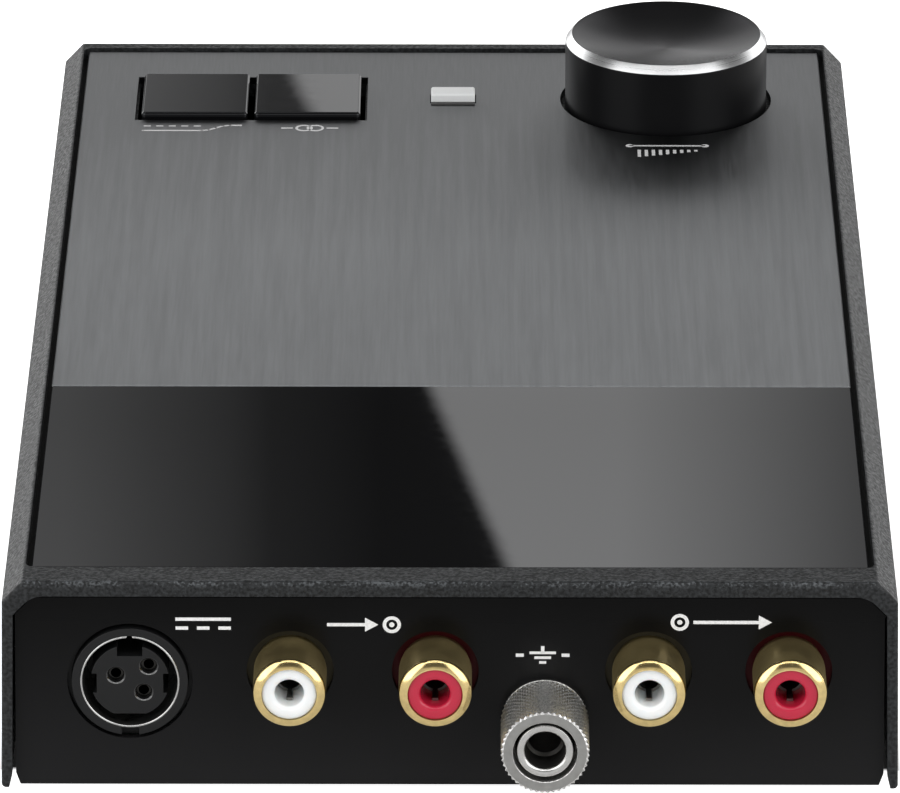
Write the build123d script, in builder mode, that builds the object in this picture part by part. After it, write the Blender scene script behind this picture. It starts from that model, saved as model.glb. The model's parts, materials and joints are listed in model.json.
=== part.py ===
from build123d import *

import os

os.makedirs("parts", exist_ok=True)

# A small desktop phono preamplifier, in millimetres.
# +Z is up and the feet stand on Z = 0. The front faces -Y and the jack panel faces +Y.
# Left and right are as seen from the front, so left is -X.

# ---------------------------------------------------------------------------------------
# Case: a tray with an upright panel at each end, and a channel-shaped cover over it
# ---------------------------------------------------------------------------------------
case_width = 101.6  # across the shoulders of the cover
case_depth = 177.8  # front end to rear end of the cover
case_height = 25.7  # lower edge of the cover to its rim
side_wall = 1.25
side_splay = 0.4  # how much further out each side wall stands at its foot
roof_thickness = 2.9
shoulder_width = 2.35  # the bevel along the two upper edges
shoulder_height = 2.5
shoulder_radius = 1.5
end_radius = 0.45  # rounding of the cover's ends
lip_thickness = 1.8  # the roof is thinner where an end panel stands under it
lip_depth = 2.6
inner_bevel_width = 2.2
inner_bevel_height = 2.3
inner_radius = 3.0
foot_radius = 0.5  # outer rounding along the lower edge of each side wall
foot_bevel_width = 0.4  # inside the side walls, at the foot
foot_bevel_height = 1.7

sheet = 1.2  # steel of the tray
bend_radius = 0.6  # inside the folds of the side flanges
panel_foot_radius = 0.4  # along the lower edge of each end panel
end_recess = 1.0  # the end panels stand inside the ends of the cover
panel_side_gap = 0.2  # between the tray and the cover
panel_foot_gap = 0.4  # the same at the foot
panel_bevel_width = 0.55  # lower corners of the end panels
panel_bevel_height = 1.6
panel_top_gap = 0.3
side_flange_height = 5.0
side_flange_gap = 0.35
corner_relief = 6.0  # the side flanges stop this far from the end panels

foot_diameter = 11.0
foot_height = 2.7
foot_taper = 0.5
foot_side_inset = 10.8  # from the side of the cover to the middle of a foot
foot_end_inset = 19.0

# Inlays in the pocket on top
front_rim = 2.0
rear_rim = 4.3
side_rim = 0.2
pocket_corner = 1.2
inlay_gap = 0.65
inlay_recess = 0.3
inlay_thickness = 1.0
strip_depth = 54.6
seam_gap = 0.2
inlay_edge_break = 0.15

# ---------------------------------------------------------------------------------------
# Controls, all on one line across the top
# ---------------------------------------------------------------------------------------
control_inset = 20.1  # from the front end of the cover

knob_x = -27.4
knob_diameter = 25.9
knob_stand = 8.8  # above the rim of the cover
knob_hole_gap = 0.65
knob_lift = 0.3  # above the floor of the pocket
knob_bevel_width = 0.85
knob_bevel_height = 1.05
knob_dish_depth = 2.1
knob_crown = 1.5  # thickness over the hollow, at the middle of the dish
knob_skirt = 2.0
knob_hub_diameter = 11.0
insert_diameter = 8.4
insert_gap = 0.3  # over the end of the bush

shaft_diameter = 6.0
shaft_flat = 1.5  # depth of the flat
shaft_gap = 0.05
bush_diameter = 7.0
bush_hole_gap = 0.2
bush_stand = 2.8  # above the floor of the pocket
pot_width = 17.0
pot_height = 10.0
pot_corner = 1.0
pot_nut_width = 10.0
pot_nut_height = 2.0
pot_washer_diameter = 11.0
pot_washer_height = 0.5
pot_recess_depth = 6.0  # how deep the shaft reaches into the potentiometer

button_x = 25.9  # middle of the pair
button_width = 13.6
button_depth = 14.6
button_gap = 0.85  # beside each cap
button_end_gap = 0.65  # before and behind each cap
button_stand = 0.8  # above the brushed plate
button_height = 5.2
button_corner = 0.5
button_edge = 0.25
button_wall = 1.4
button_roof_gap = 0.6  # round the pair in the roof of the cover
button_travel = 1.8
stem_diameter = 7.0
stem_length = 6.9
plunger_size = 3.0
plunger_gap = 0.1
plunger_grip = 2.6  # how far the plunger reaches into the stem
switch_size = 8.5
switch_height = 8.0
switch_bore_margin = 0.5
switch_reach = 3.2  # how far the plunger reaches into the switch
spring_wire = 0.4
spring_radius = 2.75
spring_turns = 4

light_width = 5.65
light_depth = 2.85
light_stand = 1.2  # above the brushed plate
light_gap = 0.15
light_edge = 0.2
light_flange = 1.2
light_flange_height = 1.0
led_width = 5.0
led_depth = 3.2
led_height = 1.9
led_gap = 0.4

# ---------------------------------------------------------------------------------------
# Jack panel
# ---------------------------------------------------------------------------------------
jack_x = {"input_left": 18.15, "input_right": 1.65, "output_left": -22.6, "output_right": -38.55}
jack_height = 14.3  # axis above the lower edge of the cover
jack_reach = 5.8  # beyond the rear end of the cover
jack_barrel_diameter = 8.3
jack_root_diameter = 7.9
jack_hole_diameter = 9.9
jack_lip = 0.45
jack_insulator_diameter = 6.25
jack_insulator_recess = 0.25
jack_socket_diameter = 3.3
jack_mouth_radius = 0.5
jack_body_width = 10.2
jack_body_depth = 9.0
jack_body_above = 5.3  # over the axis
jack_seat = 2.0
jack_insulator_seat = 5.5
contact_wall = 0.3
contact_gap = 0.02
contact_recess = 2.0
contact_tongue_width = 0.75
contact_tongue_length = 2.6
contact_slot = 0.55
contact_slot_length = 3.5

inlet_x = 36.4
inlet_height = 13.0
inlet_nose_diameter = 13.25
inlet_nose_reach = 0.3  # beyond the jack panel
inlet_hole_gap = 0.5
inlet_body_width = 14.2
inlet_body_depth = 10.0
inlet_shield_diameter = 11.35
inlet_shield_wall = 0.25
inlet_shield_slit = 0.6
inlet_socket_depth = 8.0
inlet_index_width = 1.95
inlet_index_depth = 1.5
inlet_core_diameter = 8.97
inlet_core_recess = 0.3
inlet_core_flat = 4.08  # axis to the flat under the core
inlet_key_width = 2.9
inlet_key_height = 3.06  # axis to the floor of the key slot
inlet_side_notch_depth = 0.7
inlet_side_notch_height = 2.36
inlet_side_notch_drop = 0.3
inlet_pin_spots = [(1.6, 0.7), (-2.15, 1.8), (-1.55, -1.4)]  # from the axis, in X and Z
inlet_pin_hole = 1.8
inlet_pin_bevel = 0.2
inlet_pin_wall = 0.3
inlet_pin_recess = 0.8

post_x = -10.8
post_height = 8.65
post_diameter = 6.4
post_bore_diameter = 4.5
post_bore_depth = 11.0
post_edge = 0.3
post_recess = 0.4  # tip behind the face of the thumb nut
post_flange_diameter = 9.6
post_flange_height = 0.5
post_hole_gap = 0.1
clamp_washer_diameter = 9.4
clamp_washer_height = 0.5
clamp_washer_gap = 0.15
thumb_nut_diameter = 10.1
thumb_nut_length = 9.0
thumb_nut_bore_gap = 0.1
thumb_nut_counterbore = 7.3
thumb_nut_counterbore_depth = 1.6
thumb_nut_edge = 0.35
knurl_count = 40
knurl_depth = 0.3
lock_washer_diameter = 10.0
lock_washer_height = 0.7
tag_diameter = 10.0
tag_height = 0.6
tag_tail = 11.0
tag_width = 4.0
inner_nut_width = 9.0
inner_nut_height = 3.0
post_tail = 0.8  # beyond the inner nut

# ---------------------------------------------------------------------------------------
# Board and fasteners
# ---------------------------------------------------------------------------------------
board_side_gap = 5.3  # from the side of the cover
board_thickness = 1.6
board_end_gap = 0.6  # from the inside of each end panel
standoff_height = 3.1
standoff_diameter = 5.5
standoff_hole = 2.5
standoff_side_inset = 14.8
standoff_end_inset = 42.0
board_screw_head_diameter = 4.6
board_screw_head_height = 1.6
board_screw_gap = 0.15
board_notch_gap = 1.2

case_screw_side_inset = 7.6
case_screw_end_inset = 29.0
case_screw_diameter = 2.5
case_screw_length = 9.0
case_screw_head_diameter = 5.2
case_screw_head_height = 1.0
case_screw_gap = 0.05
case_screw_hole_gap = 0.35
boss_diameter = 6.6
boss_gap = 0.8  # round a boss, in the board
boss_bore_depth = 12.0

chip_size = (9.6, 6.4, 3.4)
chip_pitch = 18.0
film_size = (7.2, 10.0, 7.5)
film_pitch = 12.0
can_diameter = 8.0
can_height = 11.0
can_pitch = 11.0
signal_row_inset = 42.0  # rows on the board, from the rear end of the cover
film_row_inset = 62.0
can_row_inset = 84.0

# ---------------------------------------------------------------------------------------
# Levels and places that follow from the sizes
# ---------------------------------------------------------------------------------------
rear_reach = post_flange_height + clamp_washer_height + thumb_nut_length - end_recess
front_y = -(case_depth + rear_reach) / 2  # the origin is midway along the whole length
rear_y = front_y + case_depth
control_y = front_y + control_inset

base_z = foot_height
rim_z = base_z + case_height
floor_z = base_z + sheet
shoulder_z = rim_z - shoulder_height
roof_z = rim_z - roof_thickness
pocket_z = rim_z - inlay_recess - inlay_thickness
plate_z = pocket_z + inlay_thickness
knob_top_z = rim_z + knob_stand
knob_hollow_z = knob_top_z - knob_dish_depth - knob_crown
insert_z = pocket_z + bush_stand + insert_gap
board_z = floor_z + standoff_height
board_top_z = board_z + board_thickness

half_width = case_width / 2
rim_half = half_width - shoulder_width
pocket_half = rim_half - side_rim
pocket_front_y = front_y + front_rim
pocket_rear_y = rear_y - rear_rim
inlay_width = 2 * (pocket_half - inlay_gap)
plate_front_y = pocket_front_y + inlay_gap
strip_rear_y = pocket_rear_y - inlay_gap
strip_front_y = strip_rear_y - strip_depth
plate_rear_y = strip_front_y - seam_gap

panel_rear_y = rear_y - end_recess  # outer face of the jack panel
panel_front_y = front_y + end_recess  # outer face of the front panel
panel_inside_y = panel_rear_y - sheet
panel_half = half_width - side_wall - panel_side_gap
panel_top_z = rim_z - lip_thickness - panel_top_gap

jack_z = base_z + jack_height
jack_tip_y = rear_y + jack_reach
inlet_z = base_z + inlet_height
inlet_face_y = panel_rear_y + inlet_nose_reach
post_z = base_z + post_height
nut_back_y = panel_rear_y + post_flange_height + clamp_washer_height
nut_face_y = nut_back_y + thumb_nut_length
post_tip_y = nut_face_y - post_recess

case_screw_x = half_width - case_screw_side_inset
case_screw_spots = [
    (x, y)
    for x in (-case_screw_x, case_screw_x)
    for y in (front_y + case_screw_end_inset, rear_y - case_screw_end_inset)
]
standoff_x = half_width - standoff_side_inset
standoff_spots = [
    (x, y)
    for x in (-standoff_x, standoff_x)
    for y in (front_y + standoff_end_inset, rear_y - standoff_end_inset)
]
foot_x = half_width - foot_side_inset
foot_spots = {
    "foot_front_left": (-foot_x, front_y + foot_end_inset),
    "foot_front_right": (foot_x, front_y + foot_end_inset),
    "foot_rear_left": (-foot_x, rear_y - foot_end_inset),
    "foot_rear_right": (foot_x, rear_y - foot_end_inset),
}
board_width = case_width - 2 * board_side_gap
button_pitch = button_width + button_gap
button_spots = {
    "mono": button_x - button_pitch / 2,
    "subsonic": button_x + button_pitch / 2,
}


def upright(y):
    """Plane across the case at y, with its x to the right and its y upwards."""
    return Plane.XZ.offset(-y)


def axial(x, y):
    """Upright plane through a vertical axis: x is the radius and y the height."""
    return Plane(origin=(x, y, 0), x_dir=(1, 0, 0), z_dir=(0, -1, 0))


def lengthwise(x, z):
    """Plane through an axis along Y: x is the place along it and y the radius."""
    return Plane(origin=(x, 0, z), x_dir=(0, 1, 0), z_dir=(1, 0, 0))


def save(piece, name):
    """Label a finished piece and write it."""
    piece.part.label = name
    export_step(piece.part, f"parts/{name}.step")


def outer_half(z):
    """Half the width of the cover at height z, below the shoulders."""
    return half_width + side_splay * (shoulder_z - z) / (shoulder_z - base_z)


def cavity_outline(ceiling_z):
    """Sketch the inside of the cover under a ceiling, open below."""
    knee_z = ceiling_z - inner_bevel_height
    knee_x = outer_half(knee_z) - side_wall
    foot_half = outer_half(base_z) - side_wall
    ceiling_half = knee_x - inner_bevel_width
    with BuildSketch(mode=Mode.PRIVATE) as outline:
        with BuildLine():
            Polyline(
                (-foot_half - foot_bevel_width, base_z),
                (-foot_half, base_z + foot_bevel_height),
                (-knee_x, knee_z),
                (-ceiling_half, ceiling_z),
                (ceiling_half, ceiling_z),
                (knee_x, knee_z),
                (foot_half, base_z + foot_bevel_height),
                (foot_half + foot_bevel_width, base_z),
                close=True,
            )
        make_face()
        fillet(outline.vertices().group_by(Axis.Y)[-1], inner_radius)
    return outline.sketch


# ---------------------------------------------------------------------------------------
# Case
# ---------------------------------------------------------------------------------------
def make_cover():
    """Channel with bevelled shoulders, a pocket for the inlays and four screw bosses."""
    foot_half = outer_half(base_z)
    with BuildPart() as cover:
        with BuildSketch(upright(front_y)) as profile:
            with BuildLine():
                Polyline(
                    (-foot_half, base_z),
                    (-half_width, shoulder_z),
                    (-rim_half, rim_z),
                    (rim_half, rim_z),
                    (half_width, shoulder_z),
                    (foot_half, base_z),
                    close=True,
                )
            make_face()
            fillet(profile.vertices().filter_by(lambda v: v.Z > base_z + 1), shoulder_radius)
            fillet(profile.vertices().filter_by(lambda v: v.Z < base_z + 1), foot_radius)
        extrude(amount=-case_depth)
        fillet(cover.faces().filter_by(Axis.Y).edges(), end_radius)

        with BuildSketch(upright(front_y)):
            add(cavity_outline(roof_z))
        extrude(amount=-case_depth, mode=Mode.SUBTRACT)
        with BuildSketch(upright(front_y), upright(rear_y - lip_depth)):
            add(cavity_outline(rim_z - lip_thickness))
        extrude(amount=-lip_depth, mode=Mode.SUBTRACT)

        with BuildSketch(Plane.XY.offset(pocket_z)):
            with Locations((0, (pocket_front_y + pocket_rear_y) / 2)):
                RectangleRounded(2 * pocket_half, pocket_rear_y - pocket_front_y, pocket_corner)
        extrude(amount=rim_z - pocket_z, mode=Mode.SUBTRACT)

        with BuildSketch(Plane.XY.offset(roof_z)):
            with Locations((knob_x, control_y)):
                Circle(bush_diameter / 2 + bush_hole_gap)
            with Locations((button_x, control_y)):
                Rectangle(
                    button_pitch + button_width + 2 * button_roof_gap,
                    button_depth + 2 * button_roof_gap,
                )
            with Locations((0, control_y)):
                Rectangle(light_width + 2 * light_gap, light_depth + 2 * light_gap)
        extrude(amount=roof_thickness, mode=Mode.SUBTRACT)

        with BuildSketch(Plane.XY.offset(floor_z)):
            with Locations(*case_screw_spots):
                Circle(boss_diameter / 2)
        extrude(amount=roof_z - floor_z)
        with BuildSketch(Plane.XY.offset(floor_z)):
            with Locations(*case_screw_spots):
                Circle(case_screw_diameter / 2 + case_screw_gap)
        extrude(amount=boss_bore_depth, mode=Mode.SUBTRACT)
    save(cover, "cover")


def make_base_tray():
    """Sheet: a floor, an upright panel at each end and a low folded flange on each side."""
    middle = sheet / 2
    foot_half = outer_half(base_z) - side_wall - panel_foot_gap
    fold = bend_radius + middle
    floor_middle = base_z + middle
    flange_x = panel_half - side_flange_gap - middle
    flange_start = panel_front_y + corner_relief
    flange_length = panel_rear_y - panel_front_y - 2 * corner_relief
    knee_z = panel_top_z - inner_bevel_height
    with BuildPart() as base_tray:
        with BuildSketch(Plane.YZ.offset(-foot_half)) as sides:
            with BuildLine():
                Polyline(
                    (panel_front_y, panel_top_z),
                    (panel_front_y, base_z),
                    (panel_rear_y, base_z),
                    (panel_rear_y, panel_top_z),
                    (panel_inside_y, panel_top_z),
                    (panel_inside_y, floor_z),
                    (panel_front_y + sheet, floor_z),
                    (panel_front_y + sheet, panel_top_z),
                    close=True,
                )
            make_face()
            fillet(sides.vertices().filter_by(lambda v: v.Z < floor_z - middle), panel_foot_radius)
        extrude(amount=2 * foot_half)

        with BuildSketch(upright(panel_front_y)) as ends:
            with BuildLine():
                Polyline(
                    (-foot_half + panel_bevel_width, base_z),
                    (-foot_half, base_z + panel_bevel_height),
                    (-panel_half, knee_z),
                    (-panel_half + inner_bevel_width, panel_top_z),
                    (panel_half - inner_bevel_width, panel_top_z),
                    (panel_half, knee_z),
                    (foot_half, base_z + panel_bevel_height),
                    (foot_half - panel_bevel_width, base_z),
                    close=True,
                )
            make_face()
            fillet(ends.vertices().filter_by(lambda v: v.Z > knee_z + 1), inner_radius - panel_top_gap)
        extrude(amount=panel_front_y - panel_rear_y, mode=Mode.INTERSECT)

        with BuildSketch(upright(flange_start)):
            with BuildLine():
                FilletPolyline(
                    (-flange_x, base_z + side_flange_height),
                    (-flange_x, floor_middle),
                    (flange_x, floor_middle),
                    (flange_x, base_z + side_flange_height),
                    radius=fold,
                )
            trace(line_width=sheet)
        extrude(amount=-flange_length)

        with BuildSketch(upright(panel_rear_y)):
            with Locations(*[(x, jack_z) for x in jack_x.values()]):
                Circle(jack_hole_diameter / 2)
            with Locations((inlet_x, inlet_z)):
                Circle(inlet_nose_diameter / 2 + inlet_hole_gap)
            with Locations((post_x, post_z)):
                Circle(post_diameter / 2 + post_hole_gap)
        extrude(amount=sheet, mode=Mode.SUBTRACT)

        with BuildSketch(Plane.XY.offset(base_z)):
            with Locations(*case_screw_spots):
                Circle(case_screw_diameter / 2 + case_screw_hole_gap)
        extrude(amount=sheet, mode=Mode.SUBTRACT)
        with Locations(*[(x, y, base_z) for x, y in case_screw_spots]):
            Cone(
                case_screw_head_diameter / 2 + case_screw_gap,
                case_screw_diameter / 2 + case_screw_gap,
                case_screw_head_height + case_screw_gap,
                align=(Align.CENTER, Align.CENTER, Align.MIN),
                mode=Mode.SUBTRACT,
            )
    save(base_tray, "base_tray")


def make_foot(name, x, y):
    """Round rubber foot, a little narrower where it meets the table."""
    with BuildPart() as foot:
        with BuildSketch(Plane.XY) as sole:
            with Locations((x, y)):
                Circle(foot_diameter / 2 - foot_taper)
        with BuildSketch(Plane.XY.offset(foot_height)):
            with Locations((x, y)):
                Circle(foot_diameter / 2)
        loft()
    save(foot, name)


def make_brushed_plate():
    """Metal inlay that carries the controls."""
    with BuildPart() as plate:
        with BuildSketch(Plane.XY.offset(pocket_z)):
            with Locations((0, (plate_front_y + plate_rear_y) / 2)):
                Rectangle(inlay_width, plate_rear_y - plate_front_y)
            with Locations((knob_x, control_y)):
                Circle(knob_diameter / 2 + knob_hole_gap, mode=Mode.SUBTRACT)
            with Locations((button_x, control_y)):
                Rectangle(
                    button_pitch + button_width + 2 * button_gap,
                    button_depth + 2 * button_end_gap,
                    mode=Mode.SUBTRACT,
                )
            with Locations((0, control_y)):
                Rectangle(
                    light_width + 2 * light_gap,
                    light_depth + 2 * light_gap,
                    mode=Mode.SUBTRACT,
                )
        extrude(amount=inlay_thickness)
        chamfer(plate.faces().sort_by(Axis.Z)[-1].outer_wire().edges(), inlay_edge_break)
    save(plate, "brushed_plate")


def make_gloss_strip():
    """Polished inlay behind the brushed plate."""
    with BuildPart() as strip:
        with BuildSketch(Plane.XY.offset(pocket_z)):
            with Locations((0, (strip_front_y + strip_rear_y) / 2)):
                Rectangle(inlay_width, strip_depth)
        extrude(amount=inlay_thickness)
        chamfer(strip.faces().sort_by(Axis.Z)[-1].edges(), inlay_edge_break)
    save(strip, "gloss_strip")


def make_case_screws():
    """Countersunk screws that hold the tray to the bosses of the cover."""
    on_base = (Align.CENTER, Align.CENTER, Align.MIN)
    with BuildPart() as screws:
        with Locations(*[(x, y, base_z) for x, y in case_screw_spots]):
            Cone(
                case_screw_head_diameter / 2,
                case_screw_diameter / 2,
                case_screw_head_height,
                align=on_base,
            )
            Cylinder(case_screw_diameter / 2, case_screw_length, align=on_base)
    save(screws, "case_screws")


# ---------------------------------------------------------------------------------------
# Controls
# ---------------------------------------------------------------------------------------
def make_level_knob():
    """Turned knob with a dished crown, a bright bevel and a hollow underside."""
    radius = knob_diameter / 2
    bottom_z = pocket_z + knob_lift
    dish_z = knob_top_z - knob_dish_depth
    dish_radius = radius - knob_bevel_width
    hollow_radius = radius - knob_skirt
    hub_radius = knob_hub_diameter / 2
    insert_radius = insert_diameter / 2
    with BuildPart() as knob:
        with BuildSketch(axial(knob_x, control_y)):
            with BuildLine():
                Polyline(
                    (insert_radius, knob_hollow_z),
                    (insert_radius, insert_z),
                    (hub_radius, insert_z),
                    (hub_radius, knob_hollow_z),
                    (hollow_radius, knob_hollow_z),
                    (hollow_radius, bottom_z),
                    (radius, bottom_z),
                    (radius, knob_top_z - knob_bevel_height),
                    (dish_radius, knob_top_z),
                )
                TangentArc((0, dish_z), (dish_radius, knob_top_z), tangent=(1, 0))
                Polyline((0, dish_z), (0, knob_hollow_z), (insert_radius, knob_hollow_z))
            make_face()
        revolve(axis=Axis((knob_x, control_y, 0), (0, 0, 1)))
    save(knob, "level_knob")


def d_outline(radius, flat_depth):
    """Circle with one flat, as on a potentiometer shaft."""
    with BuildSketch(mode=Mode.PRIVATE) as outline:
        Circle(radius)
        with Locations((0, radius - flat_depth / 2)):
            Rectangle(2 * radius, flat_depth, mode=Mode.SUBTRACT)
    return outline.sketch


def make_knob_insert():
    """Sleeve in the hub of the knob that grips the shaft."""
    with BuildPart() as insert:
        with BuildSketch(Plane.XY.offset(insert_z)):
            with Locations((knob_x, control_y)):
                Circle(insert_diameter / 2)
                add(d_outline(shaft_diameter / 2, shaft_flat), mode=Mode.SUBTRACT)
        extrude(amount=knob_hollow_z - insert_z)
    save(insert, "knob_insert")


def make_pot_shaft():
    """Potentiometer shaft, round below and flatted in the knob."""
    foot_z = board_top_z + pot_height - pot_recess_depth
    with BuildPart() as shaft:
        with BuildSketch(Plane.XY.offset(foot_z)):
            with Locations((knob_x, control_y)):
                Circle(shaft_diameter / 2)
        extrude(amount=insert_z - foot_z)
        with BuildSketch(Plane.XY.offset(insert_z)):
            with Locations((knob_x, control_y)):
                add(d_outline(shaft_diameter / 2, shaft_flat))
        extrude(amount=knob_hollow_z - insert_z)
    save(shaft, "pot_shaft")


def make_pot_body():
    """Case of the level potentiometer, with the well that its shaft turns in."""
    with BuildPart() as body:
        with BuildSketch(Plane.XY.offset(board_top_z)):
            with Locations((knob_x, control_y)):
                RectangleRounded(pot_width, pot_width, pot_corner)
        extrude(amount=pot_height)
        with BuildSketch(Plane.XY.offset(board_top_z + pot_height)):
            with Locations((knob_x, control_y)):
                Circle(shaft_diameter / 2 + shaft_gap)
        extrude(amount=-(pot_recess_depth + shaft_gap), mode=Mode.SUBTRACT)
    save(body, "pot_body")


def make_ring(name, z, outer_radius, inner_radius, height):
    """Flat ring or sleeve on the axis of the knob."""
    with BuildPart() as ring:
        with BuildSketch(Plane.XY.offset(z)):
            with Locations((knob_x, control_y)):
                Circle(outer_radius)
                Circle(inner_radius, mode=Mode.SUBTRACT)
        extrude(amount=height)
    save(ring, name)


def make_pot_mounting():
    """Threaded bush through the roof, and the washer and nut that clamp it."""
    bush_radius = bush_diameter / 2
    bush_foot_z = board_top_z + pot_height
    bush_top_z = pocket_z + bush_stand
    make_ring("pot_bush", bush_foot_z, bush_radius, shaft_diameter / 2 + shaft_gap, bush_top_z - bush_foot_z)
    make_ring("pot_washer", pocket_z, pot_washer_diameter / 2, bush_radius, pot_washer_height)
    with BuildPart() as nut:
        with BuildSketch(Plane.XY.offset(pocket_z + pot_washer_height)):
            with Locations((knob_x, control_y)):
                RegularPolygon(pot_nut_width / 2, 6, major_radius=False)
                Circle(bush_radius, mode=Mode.SUBTRACT)
        extrude(amount=pot_nut_height)
    save(nut, "pot_nut")


def make_button(name, x):
    """Cap, hollow below, with the stem that grips the plunger."""
    top_z = plate_z + button_stand
    with BuildPart() as button:
        with BuildSketch(Plane.XY.offset(top_z - button_height)):
            with Locations((x, control_y)):
                RectangleRounded(button_width, button_depth, button_corner)
        extrude(amount=button_height)
        chamfer(button.faces().sort_by(Axis.Z)[-1].edges(), button_edge)
        with BuildSketch(Plane.XY.offset(top_z - button_height)):
            with Locations((x, control_y)):
                Rectangle(button_width - 2 * button_wall, button_depth - 2 * button_wall)
        extrude(amount=button_height - button_wall, mode=Mode.SUBTRACT)
        with BuildSketch(Plane.XY.offset(top_z - button_wall)):
            with Locations((x, control_y)):
                Circle(stem_diameter / 2)
        extrude(amount=-stem_length)
        with BuildSketch(Plane.XY.offset(top_z - button_wall - stem_length)):
            with Locations((x, control_y)):
                Rectangle(plunger_size, plunger_size)
        extrude(amount=plunger_grip, mode=Mode.SUBTRACT)
    save(button, f"{name}_button")


def make_switch(name, x):
    """Latching switch under a button: case, sliding plunger and return spring."""
    stem_foot_z = plate_z + button_stand - button_wall - stem_length
    case_top_z = board_top_z + switch_height
    plunger_foot_z = case_top_z - switch_reach
    well_depth = switch_reach + button_travel + switch_bore_margin
    with BuildPart() as case:
        with BuildSketch(Plane.XY.offset(board_top_z)):
            with Locations((x, control_y)):
                Rectangle(switch_size, switch_size)
        extrude(amount=switch_height)
        with BuildSketch(Plane.XY.offset(case_top_z)):
            with Locations((x, control_y)):
                Rectangle(plunger_size + 2 * plunger_gap, plunger_size + 2 * plunger_gap)
        extrude(amount=-well_depth, mode=Mode.SUBTRACT)
    save(case, f"{name}_switch")

    with BuildPart() as plunger:
        with BuildSketch(Plane.XY.offset(plunger_foot_z)):
            with Locations((x, control_y)):
                Rectangle(plunger_size, plunger_size)
        extrude(amount=stem_foot_z + plunger_grip - plunger_foot_z)
    save(plunger, f"{name}_plunger")

    coil_height = stem_foot_z - case_top_z - spring_wire
    coil_foot_z = case_top_z + spring_wire / 2
    with BuildPart() as spring:
        with BuildLine() as coil:
            Helix(coil_height / spring_turns, coil_height, spring_radius, center=(x, control_y, coil_foot_z))
        with BuildSketch(Plane(coil.line @ 0, z_dir=coil.line % 0)):
            Circle(spring_wire / 2)
        sweep(is_frenet=True)
    save(spring, f"{name}_spring")


def make_status_light():
    """Clear bar that stands through the plate, hung by a flange under the roof."""
    flange_z = roof_z - light_flange_height
    foot_z = board_top_z + led_height + led_gap
    with BuildPart() as pipe:
        with BuildSketch(Plane.XY.offset(foot_z)):
            with Locations((0, control_y)):
                Rectangle(light_width, light_depth)
        extrude(amount=plate_z + light_stand - foot_z)
        chamfer(pipe.faces().sort_by(Axis.Z)[-1].edges(), light_edge)
        with BuildSketch(Plane.XY.offset(flange_z)):
            with Locations((0, control_y)):
                Rectangle(light_width + 2 * light_flange, light_depth + 2 * light_flange)
        extrude(amount=light_flange_height)
    save(pipe, "status_light")

    with BuildPart() as led:
        with BuildSketch(Plane.XY.offset(board_top_z)):
            with Locations((0, control_y)):
                Rectangle(led_width, led_depth)
        extrude(amount=led_height)
    save(led, "status_led")


# ---------------------------------------------------------------------------------------
# Jack panel
# ---------------------------------------------------------------------------------------
def turned(name, x, z, *outline):
    """Piece turned about an axis along Y, from a closed outline of (y, radius) points."""
    with BuildPart() as piece:
        with BuildSketch(lengthwise(x, z)):
            with BuildLine():
                Polyline(*outline, close=True)
            make_face()
        revolve(axis=Axis((x, 0, z), (0, 1, 0)))
    save(piece, name)


def make_jack(name, x):
    """One phono jack: gilt barrel, coloured insulator, split contact and moulded body."""
    barrel = jack_barrel_diameter / 2
    root = jack_root_diameter / 2
    core = jack_insulator_diameter / 2
    socket = jack_socket_diameter / 2
    seat_y = panel_inside_y - jack_seat
    core_foot_y = panel_inside_y - jack_insulator_seat
    core_face_y = jack_tip_y - jack_insulator_recess
    axis = Axis((x, 0, jack_z), (0, 1, 0))

    with BuildPart() as shell:
        with BuildSketch(lengthwise(x, jack_z)) as profile:
            with BuildLine():
                Polyline(
                    (seat_y, core),
                    (seat_y, root),
                    (panel_rear_y, root),
                    (panel_rear_y, barrel),
                    (jack_tip_y, barrel),
                    (jack_tip_y, core),
                    close=True,
                )
            make_face()
            fillet(profile.vertices().filter_by(lambda v: v.Y > jack_tip_y - 0.01), jack_lip)
        revolve(axis=axis)
    save(shell, f"{name}_barrel")

    with BuildPart() as insulator:
        with BuildSketch(lengthwise(x, jack_z)) as section:
            with BuildLine():
                Polyline(
                    (core_foot_y, socket),
                    (core_foot_y, core),
                    (core_face_y, core),
                    (core_face_y, socket),
                    close=True,
                )
            make_face()
            mouth = section.vertices().group_by(Axis.Y)[-1].sort_by(Axis.Z)[0]
            fillet(mouth, jack_mouth_radius)
        revolve(axis=axis)
    save(insulator, f"{name}_insulator")

    contact_outer = socket - contact_gap
    tongue_tip_y = core_face_y - contact_recess
    leaf_tip_y = tongue_tip_y - contact_tongue_length
    with BuildPart() as contact:
        with BuildSketch(upright(core_foot_y)):
            with Locations((x, jack_z)):
                Circle(contact_outer)
                Circle(contact_outer - contact_wall, mode=Mode.SUBTRACT)
        extrude(amount=core_foot_y - tongue_tip_y)
        with BuildSketch(upright(tongue_tip_y)):
            with Locations((x, jack_z)):
                Circle(socket)
            with Locations((x, jack_z - socket)):
                Rectangle(contact_tongue_width, socket, mode=Mode.SUBTRACT)
        extrude(amount=contact_tongue_length, mode=Mode.SUBTRACT)
        with BuildSketch(upright(leaf_tip_y)):
            with Locations((x, jack_z)):
                Rectangle(2 * contact_outer, contact_slot)
        extrude(amount=contact_slot_length, mode=Mode.SUBTRACT)
    save(contact, f"{name}_contact")

    body_top_z = jack_z + jack_body_above
    with BuildPart() as body:
        with BuildSketch(upright(panel_inside_y)):
            with Locations((x, (board_top_z + body_top_z) / 2)):
                Rectangle(jack_body_width, body_top_z - board_top_z)
        extrude(amount=jack_body_depth)
        with BuildSketch(upright(panel_inside_y)):
            with Locations((x, jack_z)):
                Circle(root)
        extrude(amount=jack_seat, mode=Mode.SUBTRACT)
        with BuildSketch(upright(panel_inside_y)):
            with Locations((x, jack_z)):
                Circle(core)
        extrude(amount=jack_insulator_seat, mode=Mode.SUBTRACT)
    save(body, f"{name}_body")


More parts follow.
